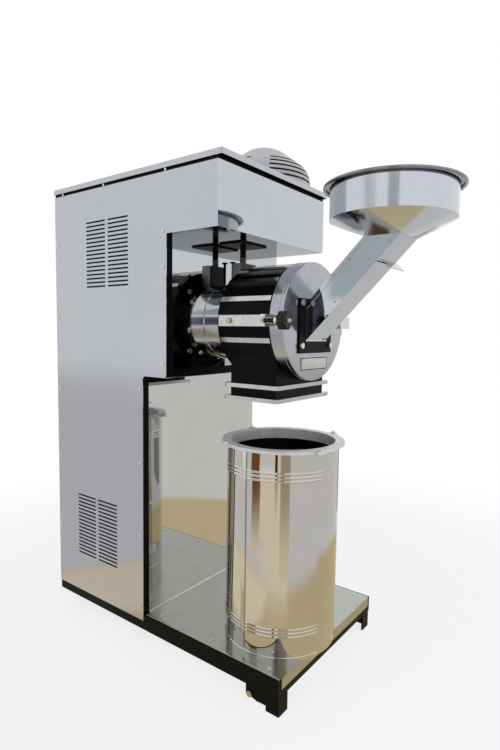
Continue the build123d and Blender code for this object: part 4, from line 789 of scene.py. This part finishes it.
def round_edges(piece, radius, segments, test):
    """Rounds the edges of an open piece whose two ends pass a test on their place in millimetres."""
    pick(piece, "edges", lambda edge: all(test(vert.co / MM) for vert in edge.verts))
    bpy.ops.mesh.bevel(offset=radius * MM, segments=segments)


lap = start_box("drum_lap", (LAP_THICK, LAP_WIDE, SEAM_LENGTH))
round_edges(lap, 0.5, 2, lambda at: at.x < 0)
bpy.ops.object.mode_set(mode="OBJECT")
lap_turn = Matrix.Rotation(math.radians(LAP_ANGLE - 180), 4, "Z")
lap.data.transform(Matrix.Translation(DRUM * MM) @ lap_turn @ seam_place)
close_piece(lap, rolled_sheet, "drum")

solder_line = start_piece("drum_solder", bpy.ops.mesh.primitive_cylinder_add, vertices=12, radius=1, depth=1)
bpy.ops.transform.resize(value=(SOLDER_HIGH * MM, SOLDER_WIDE * MM, SEAM_LENGTH * MM))
bpy.ops.mesh.subdivide(number_cuts=1)
round_edges(solder_line, 0.4, 2, lambda at: abs(at.z) > SEAM_LENGTH / 2 - 1)
bpy.ops.object.mode_set(mode="OBJECT")
solder_turn = Matrix.Rotation(math.radians(LAP_ANGLE + SOLDER_BESIDE - 180), 4, "Z")
solder_line.data.transform(Matrix.Translation(DRUM * MM) @ solder_turn @ seam_place)
close_piece(solder_line, solder, "drum")

# %% [markdown]
# ## How a bolt and a screw are made
# A hex bolt is a six-sided bar with its top corners turned off and a washer face under the head. A pan screw is a low
# cylinder with a rounded edge and a dished recess for the driver. Each is modelled once, pointing up from the origin.

# %% How a bolt and a screw are made
WASHER = 1


def hex_bolt(across, height):
    """A hex head on a washer face, pointing up from the origin."""
    corner_radius = across / math.sqrt(3)
    bolt = start_piece(
        "bolt", bpy.ops.mesh.primitive_cylinder_add, vertices=6, radius=corner_radius * MM, depth=height * MM,
    )
    bpy.ops.transform.translate(value=(0, 0, (height / 2 + WASHER) * MM))
    pick(bolt, "faces", lambda f: f.normal.z > 0.9)
    bpy.ops.mesh.bevel(offset=across * 0.06 * MM, segments=2)
    pick(bolt, "faces", lambda f: f.normal.z < -0.9)
    bpy.ops.mesh.inset(thickness=across * 0.03 * MM)
    bpy.ops.mesh.extrude_region_move(TRANSFORM_OT_translate={"value": (0, 0, -WASHER * MM)})
    return bolt


def pan_screw(radius, height):
    """A pan head with a dished recess, pointing up from the origin."""
    screw = start_piece(
        "screw", bpy.ops.mesh.primitive_cylinder_add, vertices=24, radius=radius * MM, depth=height * MM,
    )
    bpy.ops.transform.translate(value=(0, 0, height / 2 * MM))
    round_edges(screw, height * 0.5, 4, lambda at: at.z > height * 0.9)
    pick(screw, "faces", lambda f: f.normal.z > 0.99)
    bpy.ops.mesh.inset(thickness=radius * 0.2 * MM)
    bpy.ops.mesh.poke()
    pick(screw, "verts", lambda v: v.co.xy.length < 0.01 * MM and v.co.z > 0)
    bpy.ops.transform.translate(value=(0, 0, -height * 0.4 * MM))
    return screw


print("bolts have a washer face", WASHER, "mm high")

# %% [markdown]
# ## How copies are placed
# Bolts and screws repeat, so each copy of a model gets its own mesh, is turned to the face that it sits on and moved
# there. The copies of one group are then joined as one piece. Most groups stand evenly on a circle.

# %% How copies are placed


def place_copies(model, name, spots):
    """Copies of a model, each turned from +Z to its own direction and moved to its place, joined as one piece."""
    bpy.ops.object.mode_set(mode="OBJECT")
    bpy.ops.object.select_all(action="DESELECT")
    for place_at, direction in spots:
        copy = model.copy()
        copy.data = model.data.copy()
        turn = Vector(direction).to_track_quat("Z", "Y").to_matrix().to_4x4()
        copy.data.transform(Matrix.Translation(Vector(place_at) * MM) @ turn)
        scene.collection.objects.link(copy)
        copy.select_set(True)
        bpy.context.view_layer.objects.active = copy
    bpy.data.objects.remove(model)
    bpy.ops.object.join()
    piece = bpy.context.active_object
    piece.name = piece.data.name = name
    return piece


def on_circle(first, number):
    """Cosine and sine of angles that stand evenly on a circle, from a first one in degrees."""
    angles = [math.radians(first + 360 / number * step) for step in range(number)]
    return [(math.cos(angle), math.sin(angle)) for angle in angles]


print("four on a circle:", [(round(c, 2), round(s, 2)) for c, s in on_circle(45, 4)])

# %% [markdown]
# ## Bolts of the ring, the chamber and the neck
# The drum's ring carries a zinc-plated bolt on each of its four lugs. Four larger ones hold the chamber to its neck
# from behind, and eight stand round the neck itself, each pointing straight out.

# %% Bolts of the ring, the chamber and the neck
AXIS_Z = 839
LUG_CIRCLE = 152
BACK_CIRCLE, BACK_FACE = 111, -3.85
NECK_SURFACE, NECK_BOLT_Y = 98.6, 15
lug_spots = [
    ((DRUM.x + LUG_CIRCLE * c, DRUM.y + LUG_CIRCLE * s, RING_TOP), (0, 0, 1)) for c, s in on_circle(66, 4)
]
back_spots = [
    ((BACK_CIRCLE * c, BACK_FACE, AXIS_Z + BACK_CIRCLE * s), (0, 1, 0)) for c, s in on_circle(45, 4)
]
neck_spots = [
    ((NECK_SURFACE * c, NECK_BOLT_Y, AXIS_Z + NECK_SURFACE * s), (c, 0, s)) for c, s in on_circle(14, 8)
]
for name, body, across, height, spots in (
    ("lug_bolts", "drum", 9, 4, lug_spots),
    ("chamber_back_bolts", "cabinet", 13, 6, back_spots),
    ("neck_bolts", "cabinet", 12, 4.5, neck_spots),
):
    close_piece(place_copies(hex_bolt(across, height), name, spots), zinc_plate, body)

# %% [markdown]
# ## Screws of the lower panel
# The lower front panel can be taken off to reach the motor. Three small pan screws hold each of its sides.

# %% Screws of the lower panel
FRONT_SCREW_X, FRONT_SCREW_HEIGHTS = 204, (632, 373, 112)
panel_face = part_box("lower_front_panel")[0][1] / MM
front_spots = [
    ((side * FRONT_SCREW_X, panel_face, z), (0, -1, 0)) for side in (-1, 1) for z in FRONT_SCREW_HEIGHTS
]
front_screws = place_copies(pan_screw(radius=3.2, height=1.8), "front_screws", front_spots)
close_piece(front_screws, zinc_plate, "cabinet")

# %% [markdown]
# ## Seam of the neck
# The neck's sleeve is two rings of sheet that meet in a low raised seam. It is turned from a small rounded section.

# %% Seam of the neck
SEAM_BACK = (0, 68.1, AXIS_Z)
section = [(98.5, 0.2), (99.4, 0.4), (99.7, 1.2), (99.4, 2.0), (98.5, 2.6), (98.5, 0.2)]
seam = turned("neck_seam", section, SEAM_BACK, axis=(0, -1, 0), steps=96)
close_piece(seam, lightened_neck_sheet, "cabinet")

# %% [markdown]
# ## Screws of the lid
# The lid's folded lip laps over the sides, and three pan screws on each side hold it there.

# %% Screws of the lid
LIP_FACE, LIP_MIDDLE, LID_SCREW_PLACES = 227, 1184.6, (74, 301, 480)
lid_spots = [((side * LIP_FACE, y, LIP_MIDDLE), (side, 0, 0)) for side in (-1, 1) for y in LID_SCREW_PLACES]
lid_screws = place_copies(pan_screw(radius=3.6, height=2.0), "lid_screws", lid_spots)
close_piece(lid_screws, zinc_plate, "cabinet")

# %% [markdown]
# ## Hopper
# The hopper is spun sheet: a short straight wall with a flange whose edge is rolled over a wire. Under it the round
# wall runs down to a rectangular throat, folded from four quarter cones and four flat triangles. In a mesh the last
# ring is extruded down, and each quarter of it is merged into one corner of the throat. The sheet is drawn as one
# surface and then given its thickness.

# %% Hopper
HOPPER = Vector((0, -384.75, 0))
CONE_Z, RIM_Z, THROAT_Z = 1057.0, 1128.0, 1021.0
HOPPER_WALL, HOPPER_SHEET = 133, 1.5
ROLL, ROLL_MIDDLE = 3.5, 145.9
THROAT_HALF_X, THROAT_HALF_Y = 44.6, 39.6
STEPS = 96


def thicken(piece, wall):
    """Leaves edit mode and gives a sheet its wall, grown inward from the surface that was drawn."""
    bpy.ops.object.mode_set(mode="OBJECT")
    bpy.ops.object.modifier_add(type="SOLIDIFY")
    piece.modifiers[-1].thickness = wall * MM
    piece.modifiers[-1].offset = -1
    bpy.ops.object.modifier_apply(modifier=piece.modifiers[-1].name)


# Up the straight wall, round the bend and out along the flange, then round the wire
section = [(HOPPER_WALL, CONE_Z), (HOPPER_WALL, 1123), (133.5, 1126), (135.2, 1127.6), (138, RIM_Z)]
section.append((ROLL_MIDDLE, RIM_Z))
for angle in range(60, -210, -30):
    turn = math.radians(angle)
    section.append((ROLL_MIDDLE + ROLL * math.cos(turn), RIM_Z - ROLL + ROLL * math.sin(turn)))
hopper = turned("feed_hopper", section, HOPPER, steps=STEPS, start=math.pi / STEPS)
pick(hopper, "edges", lambda e: all(v.co.z < (CONE_Z + 0.1) * MM for v in e.verts))
bpy.ops.mesh.extrude_edges_move(TRANSFORM_OT_translate={"value": (0, 0, (THROAT_Z - CONE_Z) * MM)})
for side in (-1, 1):
    for front in (-1, 1):
        corner = Vector((side * THROAT_HALF_X, HOPPER.y + front * THROAT_HALF_Y, THROAT_Z)) * MM
        pick(hopper, "verts", lambda v: (
            v.co.z < (THROAT_Z + 0.1) * MM and v.co.x * side > 0 and (v.co.y - HOPPER.y * MM) * front > 0
        ))
        bpy.ops.mesh.merge(type="CENTER")
        merged = next(v for v in bmesh.from_edit_mesh(hopper.data).verts if v.select)
        bpy.ops.transform.translate(value=corner - merged.co)
bpy.ops.mesh.select_all(action="SELECT")
bpy.ops.mesh.normals_make_consistent(inside=False)
thicken(hopper, HOPPER_SHEET)
print("hopper points:", len(hopper.data.vertices))

# %% [markdown]
# ## Two finishes on the hopper
# The hammered rim is rougher than the spun wall and darker by painted shade. Every face further out than the wall takes
# the rim's finish.

# %% Two finishes on the hopper
RIM_FROM = 136
bpy.ops.object.mode_set(mode="EDIT")
# the rim's faces take the sheet darkened with painted shade
two_finishes(hopper, spun_sheet, shaded_rim_sheet, lambda f: (
    math.hypot(*(f.calc_center_median() - HOPPER * MM).xy) > RIM_FROM * MM
))
close_piece(hopper, spun_sheet, "door")
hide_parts("hopper_bowl")
wide = max(math.hypot(*(v.co - HOPPER * MM).xy) for v in hopper.data.vertices) / MM
print("hopper rim radius:", round(wide, 2), "top:", round(max(v.co.z for v in hopper.data.vertices) / MM, 2))

# %% [markdown]
# ## Rivets of the chute
# The chute's folded cover is held by domed rivets, and the sides carry a few more. A rivet head is a short cylinder
# whose top is drawn in twice as it rises.

# %% Rivets of the chute
CHUTE_SIDE, COVER_SIDE = 46.0, 47.4
CHUTE_RIVETS = ((-399.3, 1008.4), (-354.5, 972.3), (-277.4, 883.1))
COVER_RIVETS = ((-308.4, 974.0), (-268.0, 943.0))
RIVET_RADIUS, RIVET_BASE, RIVET_LIFT = 2.4, 0.8, 0.3
rivet = start_piece(
    "rivet", bpy.ops.mesh.primitive_cylinder_add, vertices=20, radius=RIVET_RADIUS * MM, depth=RIVET_BASE * MM,
)
bpy.ops.transform.translate(value=(0, 0, RIVET_LIFT * MM))
pick(rivet, "faces", lambda f: f.normal.z > 0.9)
for rise, shrink in ((0.6, 0.84), (0.45, 0.62)):
    bpy.ops.mesh.extrude_region_move(TRANSFORM_OT_translate={"value": (0, 0, rise * MM)})
    bpy.ops.transform.resize(value=(shrink, shrink, 1))
rivet_spots = []
for side in (-1, 1):
    for half, places in ((CHUTE_SIDE, CHUTE_RIVETS), (COVER_SIDE, COVER_RIVETS)):
        rivet_spots += [((side * half, y, z), (side, 0, 0)) for y, z in places]
close_piece(place_copies(rivet, "chute_rivets", rivet_spots), turned_steel, "door", angle=60)

# %% [markdown]
# ## Plate on the door
# A small plate sits low on the door: bright aluminium sheet with a printed border and a bare middle. The front face is
# inset twice, and the faces of the second ring take the border's paint.

# %% Plate on the door
PLATE_WIDE, PLATE_THICK, PLATE_HIGH = 124, 1.2, 33
DOOR_FACE, PLATE_PROUD = -200.75, 0.55
PLATE_Y, PLATE_Z = DOOR_FACE - PLATE_PROUD, 739.5
MARGIN, BORDER = 1.6, 2.2
border_x, border_z = PLATE_WIDE / 2 - MARGIN, PLATE_HIGH / 2 - MARGIN


def in_border(face):
    """Whether a face of the plate's front lies in the border's ring."""
    middle = face.calc_center_median() / MM
    across, above = abs(middle.x), abs(middle.z - PLATE_Z)
    in_ring = border_x - BORDER < across < border_x or border_z - BORDER < above < border_z
    return face.normal.y < -0.9 and in_ring


def is_corner(edge):
    """Whether an edge is one of the plate's four short corner edges."""
    first, second = edge.verts
    at_end = min(abs(first.co.x), abs(second.co.x)) > (PLATE_WIDE / 2 - 0.1) * MM
    return at_end and abs(first.co.y - second.co.y) > MM


plate = start_box("door_plate", (PLATE_WIDE, PLATE_THICK, PLATE_HIGH), (0, PLATE_Y, PLATE_Z))
pick(plate, "faces", lambda f: f.normal.y < -0.9)
bpy.ops.mesh.inset(thickness=MARGIN * MM)
bpy.ops.mesh.inset(thickness=BORDER * MM)
border = two_finishes(plate, buffed_aluminium, chamber_enamel, in_border)
print("border faces:", len(border))
pick(plate, "edges", is_corner)
bpy.ops.mesh.bevel(offset=2.0 * MM, segments=3)
close_piece(plate, buffed_aluminium, "door")

# %% [markdown]
# ## Screw end in the clamp knob
# The knob is screwed on a stud, and the stud's bright end shows in its middle. It is turned: a thread with three
# ridges and a rounded tip.

# %% Screw end in the clamp knob
CLAMP = Vector((-152, -223.75, AXIS_Z))
STUD_CREST, STUD_ROOT, STUD_PITCH = 4.8, 4.2, 1.25
section = [(0, -1), (STUD_CREST, -1)]
for ridge in range(3):
    section += [(STUD_CREST, ridge * STUD_PITCH), (STUD_ROOT, ridge * STUD_PITCH + 0.6)]
section += [(4.6, 3.9), (3.4, 4.9), (0, 5.2)]
stud = turned("clamp_stud_end", section, CLAMP, axis=(0, -1, 0), steps=32)
close_piece(stud, turned_steel, "clamp")

# %% [markdown]
# ## Thread on the hanger rod
# The rod over the neck is black, but its lower third is a bare thread. The thread's ridges are drawn as rings 2 mm
# apart, since at this size the eye can't tell them from a helix.

# %% Thread on the hanger rod
ROD_Y = 20.15
ROD_INSIDE, ROD_CREST, ROD_ROOT = 7.6, 8.9, 8.1
THREAD_FOOT, THREAD_TOP, FIRST_CREST = 988, 1008.5, 989.6
ROD_RIDGES, ROD_PITCH = 9, 2
section = [(ROD_INSIDE, THREAD_FOOT)]
for ridge in range(ROD_RIDGES):
    crest = FIRST_CREST + ridge * ROD_PITCH
    section += [(ROD_CREST, crest), (ROD_ROOT, crest + ROD_PITCH / 2)]
section += [(ROD_INSIDE, THREAD_TOP), (ROD_INSIDE, THREAD_FOOT)]
thread = turned("rod_thread", section, (0, ROD_Y, 0), steps=40)
close_piece(thread, turned_steel, "cabinet")

# %% [markdown]
# ## Painted shade behind the louvres
# Black sheets behind the slots stand for the shade inside the cabinet, painted shade, so the slots look dark. Each
# sheet is a thin panel with a folded border, pressed a little proud so that it can be spot-welded.

# %% Painted shade behind the louvres
SHADE_BACKING_THICK, SHADE_BACKING_WIDE, SHADE_BACKING_HIGH = 0.6, 186, 190
SHADE_BACKING_BORDER, SHADE_BACKING_PRESSED = 5, 0.4
SHADE_BACKING_X, BACK_GAP = 225.6, 2.2
back_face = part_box("back_panel")[1][1] / MM
wall_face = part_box("wall_panel")[0][1] / MM
high_y, high_z = wall_face + 222, 1011
low_y, low_z = wall_face + 272, 263
for name, place_at, turn in (
    ("shade_backing_left_high", (-SHADE_BACKING_X, high_y, high_z), 0),
    ("shade_backing_left_low", (-SHADE_BACKING_X, low_y, low_z), 0),
    ("shade_backing_right_high", (SHADE_BACKING_X, high_y, high_z), 180),
    ("shade_backing_right_low", (SHADE_BACKING_X, low_y, low_z), 180),
    ("shade_backing_back", (0, back_face - BACK_GAP, low_z), -90),
):
    shade_backing = start_box(name, (SHADE_BACKING_THICK, SHADE_BACKING_WIDE, SHADE_BACKING_HIGH))
    pick(shade_backing, "faces", lambda f: f.normal.x < -0.9)
    bpy.ops.mesh.inset(thickness=SHADE_BACKING_BORDER * MM)
    bpy.ops.mesh.extrude_region_move(TRANSFORM_OT_translate={"value": (SHADE_BACKING_PRESSED * MM, 0, 0)})
    bpy.ops.object.mode_set(mode="OBJECT")
    spot = Matrix.Translation(Vector(place_at) * MM)
    shade_backing.data.transform(spot @ Matrix.Rotation(math.radians(turn), 4, "Z"))
    close_piece(shade_backing, frame_paint, "cabinet")

# %% [markdown]
# ## Lining of the hood
# A black lining of painted shade fills the hood, so that its slits look dark and not through to the other side. It
# is turned: a dome a little smaller than the hood, standing on the lid, whose section is two arcs that meet smoothly.

# %% Lining of the hood
HOOD = (101.5, 29.65, 1201.5)
LINING_FOOT, LINING_TOP, LINING_WALL = (125.1, 0.4), (0, 103.6), 0.5
SIDE_ARC, CROWN_ARC = ((67.5, 10.1), 57.6, 0, 53), ((16.55, 36.0), 67.6, 53, 90)
ARC_STEPS = 6
section = [LINING_FOOT]
for middle, radius, first, last in (SIDE_ARC, CROWN_ARC):
    for step in range(ARC_STEPS + 1):
        turn = math.radians(first + (last - first) * step / ARC_STEPS)
        section.append((middle[0] + radius * math.cos(turn), middle[1] + radius * math.sin(turn)))
section.append(LINING_TOP)
shade_lining = turned("hood_shade_lining", section, HOOD, steps=72)
thicken(shade_lining, LINING_WALL)
close_piece(shade_lining, frame_paint, "cabinet")

# %% [markdown]
# ## Folded edges on the right
# On the right the front sheets are folded over the posts, so no black shows there. Each fold is a strip with a
# rounded outer edge, in the plane of its panel.

# %% Folded edges on the right
FOLD_PAST = 0.4
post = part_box("uprights")[1][0] / MM + FOLD_PAST
for name, panel in (("wall_fold", "wall_panel"), ("lower_fold", "lower_front_panel")):
    low, high = (Vector(corner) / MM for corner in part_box(panel))
    fold_middle = ((post + high.x) / 2, (low.y + high.y) / 2, (low.z + high.z) / 2)
    fold = start_box(name, (post - high.x, high.y - low.y, high.z - low.z), fold_middle)
    round_edges(fold, 1.2, 4, lambda at: at.x > post - 1 and at.y < low.y + 0.1)
    close_piece(fold, nodes[panel].data.materials[0], "cabinet")

# %% [markdown]
# ## Foot of the lower panel
# Where the lower panel meets the tray its edge is folded forward, and the worn fold shows as a bright line. It is a
# strip with its upper front edge rounded.

# %% Foot of the lower panel
FOOT_DEEP, FOOT_HIGH, FOOT_FORWARD = 3.0, 2.6, 1.4
low, high = (Vector(corner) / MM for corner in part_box("lower_front_panel"))
foot_middle = ((low.x + high.x) / 2, low.y - FOOT_FORWARD, low.z + FOOT_HIGH / 2)
foot = start_box("panel_foot", (high.x - low.x, FOOT_DEEP, FOOT_HIGH), foot_middle)
round_edges(foot, 1.6, 4, lambda at: at.y < low.y - 2 and at.z > low.z + 2)
close_piece(foot, zinc_plate, "cabinet")

# %% [markdown]
# ## Hem of the tray
# The tray's side edges lie on the black rails. Each is hemmed: the sheet is folded back on itself, so its edge is
# round and twice as thick.

# %% Hem of the tray
HEM_WIDE, HEM_THICK, HEM_SHORT = 8, 1.4, 4
low, high = (Vector(corner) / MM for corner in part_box("platform_tray"))
for name, side in (("tray_hem_left", -1), ("tray_hem_right", 1)):
    hem_middle = (side * (high.x + HEM_WIDE / 2), (low.y + high.y) / 2, high.z - HEM_THICK / 2)
    hem_strip = start_box(name, (HEM_WIDE, high.y - low.y - HEM_SHORT, HEM_THICK), hem_middle)
    round_edges(hem_strip, 1.1, 4, lambda at: at.x * side > high.x + HEM_WIDE - 1 and at.z > high.z - 0.1)
    close_piece(hem_strip, tray_sheet, "cabinet")
